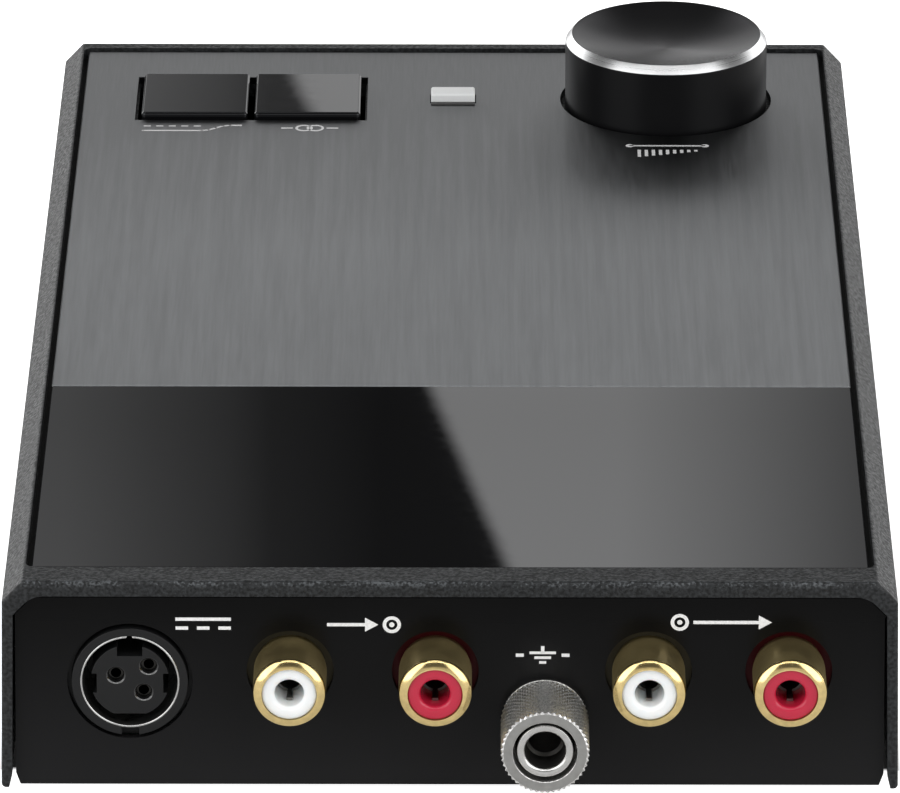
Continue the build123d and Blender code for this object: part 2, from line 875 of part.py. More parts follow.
def make_power_inlet():
    """Round power socket: moulded housing, split shield, keyed core and three contacts."""
    nose = inlet_nose_diameter / 2
    shield = inlet_shield_diameter / 2
    core = inlet_core_diameter / 2
    socket_foot_y = inlet_face_y - inlet_socket_depth
    core_face_y = inlet_face_y - inlet_core_recess
    body_half = inlet_body_width / 2

    with BuildPart() as housing:
        with BuildSketch(upright(panel_inside_y)):
            with Locations((inlet_x, (board_top_z + inlet_z + body_half) / 2)):
                Rectangle(inlet_body_width, inlet_z + body_half - board_top_z)
        extrude(amount=inlet_body_depth)
        with BuildSketch(upright(panel_inside_y)):
            with Locations((inlet_x, inlet_z)):
                Circle(nose)
        extrude(amount=panel_inside_y - inlet_face_y)
        with BuildSketch(upright(inlet_face_y)):
            with Locations((inlet_x, inlet_z)):
                Circle(shield)
        extrude(amount=inlet_socket_depth, mode=Mode.SUBTRACT)
        with BuildSketch(upright(inlet_face_y)):
            with Locations((inlet_x, inlet_z - (nose + shield) / 2)):
                Rectangle(inlet_index_width, nose - shield + 1)
        extrude(amount=inlet_index_depth, mode=Mode.SUBTRACT)
    save(housing, "inlet_housing")

    with BuildPart() as ring:
        with BuildSketch(upright(inlet_face_y)):
            with Locations((inlet_x, inlet_z)):
                Circle(shield)
                Circle(shield - inlet_shield_wall, mode=Mode.SUBTRACT)
            with Locations((inlet_x, inlet_z + shield)):
                Rectangle(inlet_shield_slit, 4 * inlet_shield_wall, mode=Mode.SUBTRACT)
        extrude(amount=inlet_socket_depth)
    save(ring, "inlet_shield")

    with BuildPart() as middle:
        with BuildSketch(upright(socket_foot_y)):
            with Locations((inlet_x, inlet_z)):
                Circle(core)
            with Locations((inlet_x, inlet_z - inlet_core_flat - core)):
                Rectangle(2 * core, 2 * core, mode=Mode.SUBTRACT)
            with Locations((inlet_x, inlet_z + inlet_key_height + core)):
                Rectangle(inlet_key_width, 2 * core, mode=Mode.SUBTRACT)
            for side in (-1, 1):
                notch_x = inlet_x + side * (2 * core - inlet_side_notch_depth)
                with Locations((notch_x, inlet_z - inlet_side_notch_drop)):
                    Rectangle(2 * core, inlet_side_notch_height, mode=Mode.SUBTRACT)
            with Locations(*[(inlet_x + x, inlet_z + z) for x, z in inlet_pin_spots]):
                Circle(inlet_pin_hole / 2, mode=Mode.SUBTRACT)
        extrude(amount=socket_foot_y - core_face_y)
        mouths = middle.faces().sort_by(Axis.Y)[-1].inner_wires().edges()
        chamfer(mouths, inlet_pin_bevel)
    save(middle, "inlet_core")

    with BuildPart() as contacts:
        with BuildSketch(upright(socket_foot_y)):
            with Locations(*[(inlet_x + x, inlet_z + z) for x, z in inlet_pin_spots]):
                Circle(inlet_pin_hole / 2)
                Circle(inlet_pin_hole / 2 - inlet_pin_wall, mode=Mode.SUBTRACT)
        extrude(amount=socket_foot_y - core_face_y + inlet_pin_recess)
    save(contacts, "inlet_contacts")


def make_ground_post():
    """Hollow threaded post with a flange outside the panel, open to a plug at its tip."""
    outer = post_diameter / 2
    bore = post_bore_diameter / 2
    tail_y = panel_inside_y - lock_washer_height - tag_height - inner_nut_height - post_tail
    turned(
        "ground_post",
        post_x,
        post_z,
        (tail_y, 0),
        (tail_y, outer),
        (panel_rear_y, outer),
        (panel_rear_y, post_flange_diameter / 2),
        (panel_rear_y + post_flange_height, post_flange_diameter / 2),
        (panel_rear_y + post_flange_height, outer),
        (post_tip_y - post_edge, outer),
        (post_tip_y, outer - post_edge),
        (post_tip_y, bore + post_edge),
        (post_tip_y - post_edge, bore),
        (post_tip_y - post_bore_depth, bore),
        (post_tip_y - post_bore_depth, 0),
    )


def make_clamp_washer():
    """Loose washer that the thumb nut pushes onto a ground wire."""
    with BuildPart() as washer:
        with BuildSketch(upright(nut_back_y)):
            with Locations((post_x, post_z)):
                Circle(clamp_washer_diameter / 2)
                Circle(post_diameter / 2 + clamp_washer_gap, mode=Mode.SUBTRACT)
        extrude(amount=clamp_washer_height)
    save(washer, "clamp_washer")


def make_thumb_nut():
    """Thumb nut with knurled sides and a counterbored face."""
    outer = thumb_nut_diameter / 2
    bore = post_diameter / 2 + thumb_nut_bore_gap
    counterbore = thumb_nut_counterbore / 2
    axis = Axis((post_x, 0, post_z), (0, 1, 0))
    with BuildPart() as nut:
        with BuildSketch(lengthwise(post_x, post_z)):
            with BuildLine():
                Polyline(
                    (nut_back_y, bore),
                    (nut_back_y, outer - thumb_nut_edge),
                    (nut_back_y + thumb_nut_edge, outer),
                    (nut_face_y - thumb_nut_edge, outer),
                    (nut_face_y, outer - thumb_nut_edge),
                    (nut_face_y, counterbore),
                    (nut_face_y - thumb_nut_counterbore_depth, counterbore),
                    (nut_face_y - thumb_nut_counterbore_depth, bore),
                    close=True,
                )
            make_face()
        revolve(axis=axis)
        with BuildSketch(upright(nut_face_y)):
            with Locations((post_x, post_z)):
                with PolarLocations(outer, knurl_count):
                    RegularPolygon(knurl_depth, 4, rotation=0)
        extrude(amount=thumb_nut_length, mode=Mode.SUBTRACT)
    save(nut, "ground_thumb_nut")


def make_ground_hardware():
    """Lock washer, solder tag and hexagon nut on the post, inside the panel."""
    bore = post_diameter / 2
    tag_y = panel_inside_y - lock_washer_height
    nut_y = tag_y - tag_height
    with BuildPart() as washer:
        with BuildSketch(upright(panel_inside_y)):
            with Locations((post_x, post_z)):
                Circle(lock_washer_diameter / 2)
                Circle(bore, mode=Mode.SUBTRACT)
        extrude(amount=lock_washer_height)
    save(washer, "ground_lock_washer")

    with BuildPart() as tag:
        with BuildSketch(upright(tag_y)):
            with Locations((post_x, post_z)):
                Circle(tag_diameter / 2)
            with Locations((post_x, post_z + tag_tail / 2)):
                Rectangle(tag_width, tag_tail)
            with Locations((post_x, post_z)):
                Circle(bore, mode=Mode.SUBTRACT)
        extrude(amount=tag_height)
    save(tag, "ground_tag")

    with BuildPart() as nut:
        with BuildSketch(upright(nut_y)):
            with Locations((post_x, post_z)):
                RegularPolygon(inner_nut_width / 2, 6, major_radius=False, rotation=30)
                Circle(bore, mode=Mode.SUBTRACT)
        extrude(amount=inner_nut_height)
    save(nut, "ground_hex_nut")


# ---------------------------------------------------------------------------------------
# Board and fasteners
# ---------------------------------------------------------------------------------------
def make_circuit_board():
    """Board with notches for the cover's bosses and for the ground post."""
    board_front_y = panel_front_y + sheet + board_end_gap
    board_rear_y = panel_inside_y - board_end_gap
    notch_width = tag_diameter + 2 * board_notch_gap
    notch_depth = lock_washer_height + tag_height + inner_nut_height + post_tail + board_notch_gap
    with BuildPart() as board:
        with BuildSketch(Plane.XY.offset(board_z)):
            with Locations((0, (board_front_y + board_rear_y) / 2)):
                Rectangle(board_width, board_rear_y - board_front_y)
            with Locations(*case_screw_spots):
                Circle(boss_diameter / 2 + boss_gap, mode=Mode.SUBTRACT)
            with Locations((post_x, panel_inside_y - notch_depth / 2)):
                Rectangle(notch_width, notch_depth, mode=Mode.SUBTRACT)
            with Locations(*standoff_spots):
                Circle(standoff_hole / 2 + board_screw_gap, mode=Mode.SUBTRACT)
        extrude(amount=board_thickness)
    save(board, "circuit_board")


def make_standoffs():
    """Spacers fixed to the tray, and the screws that hold the board down on them."""
    on_base = (Align.CENTER, Align.CENTER, Align.MIN)
    with BuildPart() as standoffs:
        with BuildSketch(Plane.XY.offset(floor_z)):
            with Locations(*standoff_spots):
                Circle(standoff_diameter / 2)
                Circle(standoff_hole / 2, mode=Mode.SUBTRACT)
        extrude(amount=standoff_height)
    save(standoffs, "board_standoffs")

    with BuildPart() as screws:
        with Locations(*[(x, y, board_top_z) for x, y in standoff_spots]):
            Cylinder(board_screw_head_diameter / 2, board_screw_head_height, align=on_base)
        with Locations(*[(x, y, floor_z) for x, y in standoff_spots]):
            Cylinder(
                standoff_hole / 2,
                standoff_height + board_thickness,
                align=on_base,
            )
    save(screws, "board_screws")


def make_board_parts():
    """Amplifier chips, film capacitors and supply capacitors, in rows across the board."""
    with BuildPart() as chips:
        with BuildSketch(Plane.XY.offset(board_top_z)):
            with Locations((0, rear_y - signal_row_inset)):
                with GridLocations(chip_pitch, 1, 3, 1):
                    Rectangle(chip_size[0], chip_size[1])
        extrude(amount=chip_size[2])
    save(chips, "amplifier_chips")

    with BuildPart() as films:
        with BuildSketch(Plane.XY.offset(board_top_z)):
            with Locations((0, rear_y - film_row_inset)):
                with GridLocations(film_pitch, 1, 4, 1):
                    Rectangle(film_size[0], film_size[1])
        extrude(amount=film_size[2])
    save(films, "film_capacitors")

    with BuildPart() as cans:
        with BuildSketch(Plane.XY.offset(board_top_z)):
            with Locations((0, rear_y - can_row_inset)):
                with GridLocations(can_pitch, 1, 6, 1):
                    Circle(can_diameter / 2)
        extrude(amount=can_height)
    save(cans, "supply_capacitors")


make_cover()
make_base_tray()
for foot_name, (spot_x, spot_y) in foot_spots.items():
    make_foot(foot_name, spot_x, spot_y)
make_brushed_plate()
make_gloss_strip()
make_case_screws()
make_level_knob()
make_knob_insert()
make_pot_shaft()
make_pot_body()
make_pot_mounting()
for button_name, spot_x in button_spots.items():
    make_button(button_name, spot_x)
    make_switch(button_name, spot_x)
make_status_light()
for jack_name, spot_x in jack_x.items():
    make_jack(jack_name, spot_x)
make_power_inlet()
make_ground_post()
make_clamp_washer()
make_thumb_nut()
make_ground_hardware()
make_circuit_board()
make_standoffs()
make_board_parts()
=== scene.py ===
import json
import logging
import math
from dataclasses import dataclass, field
from enum import Enum
from functools import reduce
from typing import Iterable, Sequence

import bmesh
import bpy
from mathutils import Matrix, Vector

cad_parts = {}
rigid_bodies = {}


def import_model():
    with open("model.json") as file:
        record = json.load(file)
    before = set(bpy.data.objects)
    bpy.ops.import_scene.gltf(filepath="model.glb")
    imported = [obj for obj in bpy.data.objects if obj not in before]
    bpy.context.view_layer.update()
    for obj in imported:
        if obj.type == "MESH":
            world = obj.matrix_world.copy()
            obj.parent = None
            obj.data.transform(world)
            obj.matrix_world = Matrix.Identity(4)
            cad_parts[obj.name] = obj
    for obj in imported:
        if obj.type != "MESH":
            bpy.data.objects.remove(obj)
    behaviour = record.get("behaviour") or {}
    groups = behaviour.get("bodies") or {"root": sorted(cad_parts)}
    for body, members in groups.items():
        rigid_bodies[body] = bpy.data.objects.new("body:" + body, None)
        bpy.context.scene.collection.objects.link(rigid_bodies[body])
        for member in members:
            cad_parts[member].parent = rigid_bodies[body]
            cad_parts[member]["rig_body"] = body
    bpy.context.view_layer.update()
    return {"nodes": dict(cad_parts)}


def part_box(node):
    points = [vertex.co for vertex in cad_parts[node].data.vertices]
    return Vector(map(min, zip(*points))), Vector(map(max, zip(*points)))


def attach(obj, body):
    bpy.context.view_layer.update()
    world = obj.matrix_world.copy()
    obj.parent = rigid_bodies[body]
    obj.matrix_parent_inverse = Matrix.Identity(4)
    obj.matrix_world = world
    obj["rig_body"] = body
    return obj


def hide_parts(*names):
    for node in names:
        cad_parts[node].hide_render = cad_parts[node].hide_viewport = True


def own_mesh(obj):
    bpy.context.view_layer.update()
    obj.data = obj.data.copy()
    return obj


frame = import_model()

Color = tuple[float, float, float]
Point = tuple[float, float]
Place = tuple[float, float, float]
Socket = bpy.types.NodeSocket
Feed = Socket | float | Sequence[float]

MM = 0.001
UP: Place = (0.0, 0.0, 1.0)
REARWARD: Place = (0.0, 1.0, 0.0)
WHITE = (1.0, 1.0, 1.0, 1.0)
# Spans of a pattern: rising, falling, and where most values of a noise lie.
UNIT: Point = (0.0, 1.0)
FALLING: Point = (1.0, 0.0)
MIDDLE: Point = (0.3, 0.7)
log = logging.getLogger("preamp")


def grey(value: float) -> Color:
    """Return a neutral colour."""
    return (value, value, value)


def box_center(node: str) -> Vector:
    """Return the middle of a node's box."""
    low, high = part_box(node)
    return (low + high) / 2


def radius_of(node: str) -> float:
    """Return half of a node's width, which is a turned node's radius."""
    low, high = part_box(node)
    return (high.x - low.x) / 2


# ---- Shader nodes ----
class NodeTree:
    """A tree of shader nodes, with short calls for those that repeat."""

    def __init__(self, tree: bpy.types.ShaderNodeTree) -> None:
        """Take hold of a tree and empty it.

        Args:
            tree: The nodes of a material or of the world.
        """
        self.nodes = tree.nodes
        self.links = tree.links
        self.nodes.clear()

    def add(self, kind: str, inputs: dict[str | int, Feed], **settings: str) -> bpy.types.Node:
        """Add a node.

        Args:
            kind: Its type, without the word that every shader node's type starts with.
            inputs: A source or a constant for each socket that it is given, by name or place.
            **settings: Its properties.

        Returns:
            The new node.
        """
        node = self.nodes.new(f"ShaderNode{kind}")
        for name, value in settings.items():
            setattr(node, name, value)
        for name, value in inputs.items():
            if isinstance(value, Socket):
                self.links.new(value, node.inputs[name])
            else:
                node.inputs[name].default_value = value
        return node

    def math(self, operation: str, first: Feed, second: Feed = 0.0) -> Socket:
        """Combine two values."""
        return self.add("Math", {0: first, 1: second}, operation=operation).outputs[0]

    def product(self, *factors: Feed) -> Socket:
        """Multiply two or more values in order, of which the first is a socket."""
        return reduce(lambda first, second: self.math("MULTIPLY", first, second), factors)

    def remap(self, value: Socket, span: Point, result: Point = UNIT, easing: str = "LINEAR") -> Socket:
        """Stretch a value's span to another, and clamp it there.

        Args:
            value: The value.
            span: Its two ends, of which the first may be the higher.
            result: What it becomes at each end.
            easing: How it runs between them.

        Returns:
            The new value.
        """
        inputs = dict(enumerate((value, *span, *result)))
        return self.add("MapRange", inputs, interpolation_type=easing).outputs["Result"]

    def smooth(self, value: Socket, span: Point) -> Socket:
        """Rise softly from 0 to 1 between the first and the second end of a span."""
        return self.remap(value, span, UNIT, "SMOOTHSTEP")

    def mix(self, share: Socket, low: Color | Socket, high: Color | Socket, kind: str = "RGBA") -> Socket:
        """Blend two colours or two values.

        Args:
            share: Share of the second one, from 0 to 1.
            low: The first one.
            high: The second one.
            kind: RGBA for colours, FLOAT for values.

        Returns:
            The blend.
        """
        first, second = ((*end, 1.0) if isinstance(end, tuple) else end for end in (low, high))
        return self.add("Mix", {"Factor": share, "A": first, "B": second}, data_type=kind).outputs["Result"]

    def ramp(self, value: Socket, span: Point, stops: Sequence[Point]) -> Socket:
        """Read a brightness from stops along a value's span.

        Args:
            value: The value.
            span: Its two ends.
            stops: Pairs of a value and the brightness there.

        Returns:
            The brightness.
        """
        width = span[1] - span[0]
        scaled = self.math("DIVIDE", self.math("SUBTRACT", value, span[0]), width)
        node = self.add("ValToRGB", {"Fac": scaled})
        elements = node.color_ramp.elements
        elements.remove(elements[1])
        for index, (place, level) in enumerate(stops):
            spot = (place - span[0]) / width
            element = elements.new(spot) if index else elements[0]
            element.position = spot
            element.color = (*grey(level), 1.0)
        return node.outputs["Color"]

    def part(self, vector: Socket, axis: str) -> Socket:
        """Take one part, X, Y or Z, of a vector."""
        return self.add("SeparateXYZ", {"Vector": vector}).outputs[axis]

    def seen(self) -> Socket:
        """Tell what the camera sees itself from what lights or mirrors."""
        return self.add("LightPath", {}).outputs["Is Camera Ray"]


class FinishTree(NodeTree):
    """The nodes of one material, round a Principled shader."""

    def __init__(self, name: str) -> None:
        """Start a material.

        Args:
            name: Name of the material.
        """
        self.material = bpy.data.materials.new(name)
        self.material.use_nodes = True
        super().__init__(self.material.node_tree)
        self.shader = self.add("BsdfPrincipled", {})
        self.add("OutputMaterial", {"Surface": self.shader.outputs["BSDF"]})
        self.coordinates = self.add("TexCoord", {}).outputs["Object"]

    def set(self, socket: str, value: float | Sequence[float]) -> None:
        """Set a constant on the shader's own socket."""
        self.shader.inputs[socket].default_value = value

    def feed(self, socket: str, source: Socket) -> None:
        """Drive one of the shader's sockets by a pattern."""
        self.links.new(source, self.shader.inputs[socket])

    def place(self, axis: str) -> Socket:
        """Return how far along an axis of the object a point lies."""
        return self.part(self.coordinates, axis)

    def direction(self, axis: str) -> Socket:
        """Return the direction along an axis."""
        return self.add("CombineXYZ", {axis: 1.0}).outputs["Vector"]

    def mapped(self, scale: Place) -> Socket:
        """Return the object's coordinates, scaled along each axis."""
        return self.add("Mapping", {"Vector": self.coordinates, "Scale": scale}).outputs["Vector"]

    def noise(self, size: float, detail: float = 3.0, vector: Socket | None = None) -> Socket:
        """Add a cloudy pattern.

        Args:
            size: Distance between its blots in metres, or in the vector's own units.
            detail: Number of finer layers.
            vector: Coordinates to read instead of the object's.

        Returns:
            Values from 0 to 1, most of them in the middle.
        """
        inputs = {"Scale": 1.0 / size, "Detail": detail, "Vector": vector or self.coordinates}
        return self.add("TexNoise", inputs).outputs["Fac"]

    def streaks(self, distance: Socket, size: float, detail: float = 3.0) -> Socket:
        """Add lines that change only with a distance.

        Args:
            distance: The value that they follow.
            size: Distance between two lines.
            detail: Number of finer layers.

        Returns:
            Values from 0 to 1, most of them in the middle.
        """
        inputs = {"W": distance, "Scale": 1.0 / size, "Detail": detail}
        return self.add("TexNoise", inputs, noise_dimensions="1D").outputs["Fac"]

    def blend(self, first: Socket, second: Socket, share: float = 0.5) -> Socket:
        """Add the same share of each of two patterns."""
        return self.math("ADD", self.product(first, share), self.product(second, share))

    def bump(self, height: Socket, depth: float, strength: float, under: Socket | None = None) -> Socket:
        """Raise the surface by a pattern.

        Args:
            height: Values from 0 to 1.
            depth: Height of the relief in metres.
            strength: Share of the relief that shows.
            under: A relief that this one lies on.

        Returns:
            The bent normal, which also drives the shader.
        """
        below = {} if under is None else {"Normal": under}
        inputs = {"Height": height, "Distance": depth, "Strength": strength, **below}
        bent = self.add("Bump", inputs).outputs["Normal"]
        self.feed("Normal", bent)
        return bent

    def across(self, center: Place, axis: Place) -> tuple[Socket, Socket]:
        """Measure from an axis.

        Args:
            center: A point on the axis.
            axis: Its direction.

        Returns:
            The radius in metres, and the direction straight out from the axis.
        """
        offset = self.add("VectorMath", {0: self.coordinates, 1: center}, operation="SUBTRACT")
        kept = {0: offset.outputs["Vector"], 1: [1.0 - abs(part) for part in axis]}
        flat = self.add("VectorMath", kept, operation="MULTIPLY").outputs["Vector"]
        length = self.add("VectorMath", {0: flat}, operation="LENGTH")
        spaces = {"vector_type": "VECTOR", "convert_from": "OBJECT", "convert_to": "WORLD"}
        outward = self.add("VectorTransform", {"Vector": flat}, **spaces)
        return length.outputs["Value"], outward.outputs["Vector"]


# ---- Finishes ----
@dataclass(frozen=True)
class Finish:
    """What every finish has: a name, a colour, a roughness, and how far its patterns vary them.

    Tones and gloss are factors of the colour and of the roughness at the two ends of a pattern, and
    relief is the height of the bumps in metres.
    """

    name: str
    color: Color
    roughness: float
    specular: float = 0.5
    tones: Point = (1.0, 1.0)
    gloss: Point = (1.0, 1.0)
    relief: float = 0.0
    relief_share: float = 0.5

    def material(self) -> bpy.types.Material:
        """Return the material, made the first time that it is asked for.

        Returns:
            The material.
        """
        made = bpy.data.materials.get(f"{self.name}_finish")
        if made is not None:
            return made
        tree = FinishTree(f"{self.name}_finish")
        tree.set("Base Color", (*self.color, 1.0))
        tree.set("Roughness", self.roughness)
        tree.set("Specular IOR Level", self.specular)
        self.dress(tree)
        return tree.material

    def shade(self, factor: float) -> Color:
        """Return the finish's colour, lighter or darker by a factor."""
        return tuple(min(1.0, part * factor) for part in self.color)

    def vary_tone(self, tree: FinishTree, pattern: Socket) -> None:
        """Let a pattern from 0 to 1 vary the colour between the two tones."""
        tree.feed("Base Color", tree.mix(pattern, *map(self.shade, self.tones)))

    def vary_gloss(self, tree: FinishTree, pattern: Socket, span: Point = MIDDLE) -> None:
        """Let a span of a pattern vary the roughness between the two factors.

        Args:
            tree: Nodes of the material.
            pattern: Values from 0 to 1.
            span: The span of them that counts.
        """
        low, high = (self.roughness * factor for factor in self.gloss)
        tree.feed("Roughness", tree.remap(pattern, span, (low, high)))

    def emboss(self, tree: FinishTree, pattern: Socket, under: Socket | None = None) -> None:
        """Let a pattern raise the surface by the relief."""
        tree.bump(pattern, self.relief, self.relief_share, under)

    def dress(self, tree: FinishTree) -> None:
        """Add the patterns of the finish.

        Args:
            tree: Nodes of its material.
        """
        raise NotImplementedError


@dataclass(frozen=True)
class PowderCoat(Finish):
    """Baked textured coat: fine grains that catch the light, darker pits, and pale specks along the upper
    edge of both ends, a painted highlight that is partly rubbed wear.
    """

    tones: Point = (0.4, 2.0)
    tone_span: Point = (0.38, 0.66)
    gloss: Point = (1.25, 0.72)
    gloss_span: Point = (0.35, 0.65)
    relief: float = 0.14 * MM
    relief_share: float = 0.8
    grain: float = 0.42 * MM
    swell: float = 6.0 * MM
    swell_relief: float = 0.04 * MM
    swell_share: float = 0.4
    end_edge: Point = tuple(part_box("cover")[1][1:])
    # Pale specks along the upper edge of both ends: painted highlight, partly rubbed wear.
    glint_wear_reach: Point = (0.1 * MM, 0.8 * MM)
    glint_wear_size: float = 0.34 * MM
    glint_wear_drift: float = 5.0 * MM
    glint_wear_drift_share: float = 0.5
    glint_wear_cover: Point = (0.75, 0.9)
    glint_wear_tone: float = 7.0

    def edge_glints_and_wear(self, tree: FinishTree) -> Socket:
        """Find the specks along the upper edge of both ends: a painted highlight on the rounded edge, partly
        rubbed wear.

        Args:
            tree: Nodes of the material.

        Returns:
            Values from 0 to 1.
        """
        offsets = []
        for axis, place in zip("YZ", self.end_edge):
            spot = tree.math("ABSOLUTE", tree.place(axis))
            offsets.append(tree.math("ABSOLUTE", tree.math("SUBTRACT", spot, place)))
        near = tree.remap(tree.math("MAXIMUM", *offsets), self.glint_wear_reach, FALLING)
        drift = tree.product(tree.noise(self.glint_wear_drift, detail=2.0), self.glint_wear_drift_share)
        patches = tree.math("ADD", tree.noise(self.glint_wear_size, detail=2.0), drift)
        return tree.product(near, tree.remap(patches, self.glint_wear_cover))

    def dress(self, tree: FinishTree) -> None:
        """Add grains, pits, and the pale edge specks of painted highlight and wear.

        Args:
            tree: Nodes of its material.
        """
        grains = tree.noise(self.grain)
        coat = tree.mix(tree.remap(grains, self.tone_span), *map(self.shade, self.tones))
        # The edge specks lighten the coat many times over: painted highlight, partly rubbed wear.
        tree.feed("Base Color", tree.mix(self.edge_glints_and_wear(tree), coat, self.shade(self.glint_wear_tone)))
        mottled = tree.remap(grains, self.gloss_span, self.gloss)
        tree.feed("Roughness", tree.product(mottled, self.roughness))
        swell = tree.bump(tree.noise(self.swell, detail=2.0), self.swell_relief, self.swell_share)
        self.emboss(tree, grains, swell)


@dataclass(frozen=True)
class BrushedPlate(Finish):
    """Anodised metal, brushed along Y, with painted shade that darkens it a little towards its front end."""

    tones: Point = (0.7, 1.12)
    gloss: Point = (0.9, 1.12)
    relief: float = 0.004 * MM
    stretch: float = 0.88
    fine: Place = (4200.0, 160.0, 400.0)
    broad: Place = (1100.0, 30.0, 100.0)
    tone_span: Point = (0.36, 0.64)
    least_share: float = 0.43
    # Span along Y over which the painted shade darkens the plate.
    front: Point = (-84.0 * MM, -20.0 * MM)

    def dress(self, tree: FinishTree) -> None:
        """Add brushing lines and faint clouds, and stretch the gloss across the lines.

        Args:
            tree: Nodes of its material.
        """
        tree.set("Metallic", 1.0)
        lines = tree.noise(1.0, detail=4.0, vector=tree.mapped(self.fine))
        broad = tree.noise(1.0, detail=2.0, vector=tree.mapped(self.broad))
        tone = tree.remap(tree.blend(lines, broad), self.tone_span, (self.least_share, 1.0))
        # Painted shade: the colour darkens a little towards the front end.
        painted_shade = tree.remap(tree.place("Y"), self.front, FALLING)
        self.vary_tone(tree, tree.math("SUBTRACT", tone, painted_shade))
        self.vary_gloss(tree, lines)
        tree.set("Anisotropic", self.stretch)
        tree.feed("Tangent", tree.direction("X"))
        self.emboss(tree, lines)


@dataclass(frozen=True)
class Polished(Finish):
    """Glossy plastic or lacquer with the faintest waves and rubbing marks."""

    tones: Point = (0.9, 1.1)
    gloss: Point = (0.8, 1.5)
    gloss_span: Point = (0.35, 0.75)
    relief: float = 0.0006 * MM
    mark: float = 1.4 * MM
    wave: float = 5.0 * MM
    tint: Color = (0.95, 0.965, 1.0)

    def dress(self, tree: FinishTree) -> None:
        """Add gentle waves and faint rubbing marks.

        Args:
            tree: Nodes of its material.
        """
        tree.set("Specular Tint", (*self.tint, 1.0))
        marks = tree.noise(self.mark, detail=5.0)
        self.vary_tone(tree, marks)
        self.vary_gloss(tree, marks, self.gloss_span)
        self.emboss(tree, tree.noise(self.wave, detail=1.0))


@dataclass(frozen=True)
class SatinSheet(Finish):
    """Smooth satin paint on sheet metal, with a very fine orange-peel skin and painted light that makes it
    paler towards its foot.
    """

    gloss: Point = (0.88, 1.12)
    relief: float = 0.003 * MM
    relief_share: float = 0.6
    # Painted light: a glow of reflected floor that lightens the colour towards the foot by this factor.
    painted_glow_tone: float = 10.6
    rise: Point = (4.0 * MM, 25.0 * MM)
    cloud: float = 9.0 * MM
    cloud_share: float = 0.1
    peel: float = 0.35 * MM

    def dress(self, tree: FinishTree) -> None:
        """Add the skin, faint clouds in the gloss, and the painted light that makes the foot paler.

        Args:
            tree: Nodes of its material.
        """
        clouds = tree.noise(self.cloud)
        # Painted light: the colour grows paler towards the foot.
        height = tree.remap(tree.place("Z"), self.rise, (0.0, 1.0 - self.cloud_share))
        share = tree.math("ADD", height, tree.product(clouds, self.cloud_share))
        tree.feed("Base Color", tree.mix(share, self.shade(self.painted_glow_tone), self.color))
        self.vary_gloss(tree, clouds)
        self.emboss(tree, tree.noise(self.peel))


@dataclass(frozen=True)
class Turned(Finish):
    """The knob's turned metal: rings round its axis and gloss spread across them."""

    tones: Point = (0.92, 1.08)
    gloss: Point = (0.85, 1.2)
    relief: float = 0.001 * MM
    center: Place = tuple(box_center("level_knob"))
    metallic: float = 1.0
    stretch: float = 0.5
    ring: float = 0.12 * MM

    def dress(self, tree: FinishTree) -> None:
        """Add the turning rings, with the gloss spread straight out from the axis.

        Args:
            tree: Nodes of its material.
        """
        tree.set("Metallic", self.metallic)
        radius, outward = tree.across(self.center, UP)
        rings = tree.streaks(radius, self.ring)
        self.vary_tone(tree, rings)
        self.vary_gloss(tree, rings)
        tree.set("Anisotropic", self.stretch)
        tree.feed("Tangent", outward)
        self.emboss(tree, rings)


@dataclass(frozen=True)
class Plated(Finish):
    """Plating over turned brass: bright, with faint rings along Y and a few dull spots."""

    tones: Point = (1.0, 0.8)
    tone_span: Point = (0.35, 0.7)
    gloss: Point = (0.75, 1.3)
    relief: float = 0.0015 * MM
    ring: float = 0.09 * MM
    spot: float = 0.9 * MM
    stretch: float = 0.0

    def dress(self, tree: FinishTree) -> None:
        """Add rings, dull spots and a slight change of tone, and spread the gloss across the rings.

        Args:
            tree: Nodes of its material.
        """
        tree.set("Metallic", 1.0)
        if self.stretch:
            tree.set("Anisotropic", self.stretch)
            tree.feed("Tangent", tree.direction("Y"))
        rings = tree.streaks(tree.place("Y"), self.ring)
        spots = tree.noise(self.spot, detail=4.0)
        self.vary_tone(tree, tree.remap(spots, self.tone_span))
        self.vary_gloss(tree, tree.blend(rings, spots))
        self.emboss(tree, rings)


@dataclass(frozen=True)
class Moulded(Finish):
    """Moulded plastic with a fine eroded skin."""

    tones: Point = (0.94, 1.06)
    gloss: Point = (0.9, 1.15)
    relief: float = 0.004 * MM
    relief_share: float = 0.6
    skin: float = 0.12 * MM
    cloud: float = 2.5 * MM
    glow: float = 0.0
    glow_depth: float = 1.0
    glow_reach: Place = (0.6 * MM, 0.5 * MM, 0.45 * MM)

    def dress(self, tree: FinishTree) -> None:
        """Add the skin and a slight change of tone, and let light into the pale ones.

        Args:
            tree: Nodes of its material.
        """
        skin = tree.noise(self.skin)
        self.vary_tone(tree, tree.noise(self.cloud, detail=2.0))
        self.vary_gloss(tree, skin)
        if self.glow:
            tree.set("Subsurface Weight", self.glow)
            tree.set("Subsurface Radius", self.glow_reach)
            tree.set("Subsurface Scale", self.glow_depth)
        self.emboss(tree, skin)


@dataclass(frozen=True)
class SolderResist(Finish):
    """Board lacquer over copper tracks."""

    tones: Point = (1.0, 1.8)
    relief: float = 0.03 * MM
    spacing: float = 2.6 * MM
    run: float = 14.0 * MM
    track: float = 0.25 * MM

    def dress(self, tree: FinishTree) -> None:
        """Show the tracks as slightly paler, raised lines.

        Args:
            tree: Nodes of its material.
        """
        sizes = {"Scale": 1.0, "Brick Width": self.run, "Row Height": self.spacing, "Mortar Size": self.track}
        tracks = tree.add("TexBrick", {"Vector": tree.coordinates, **sizes}).outputs["Fac"]
        self.vary_tone(tree, tracks)
        self.emboss(tree, tracks)


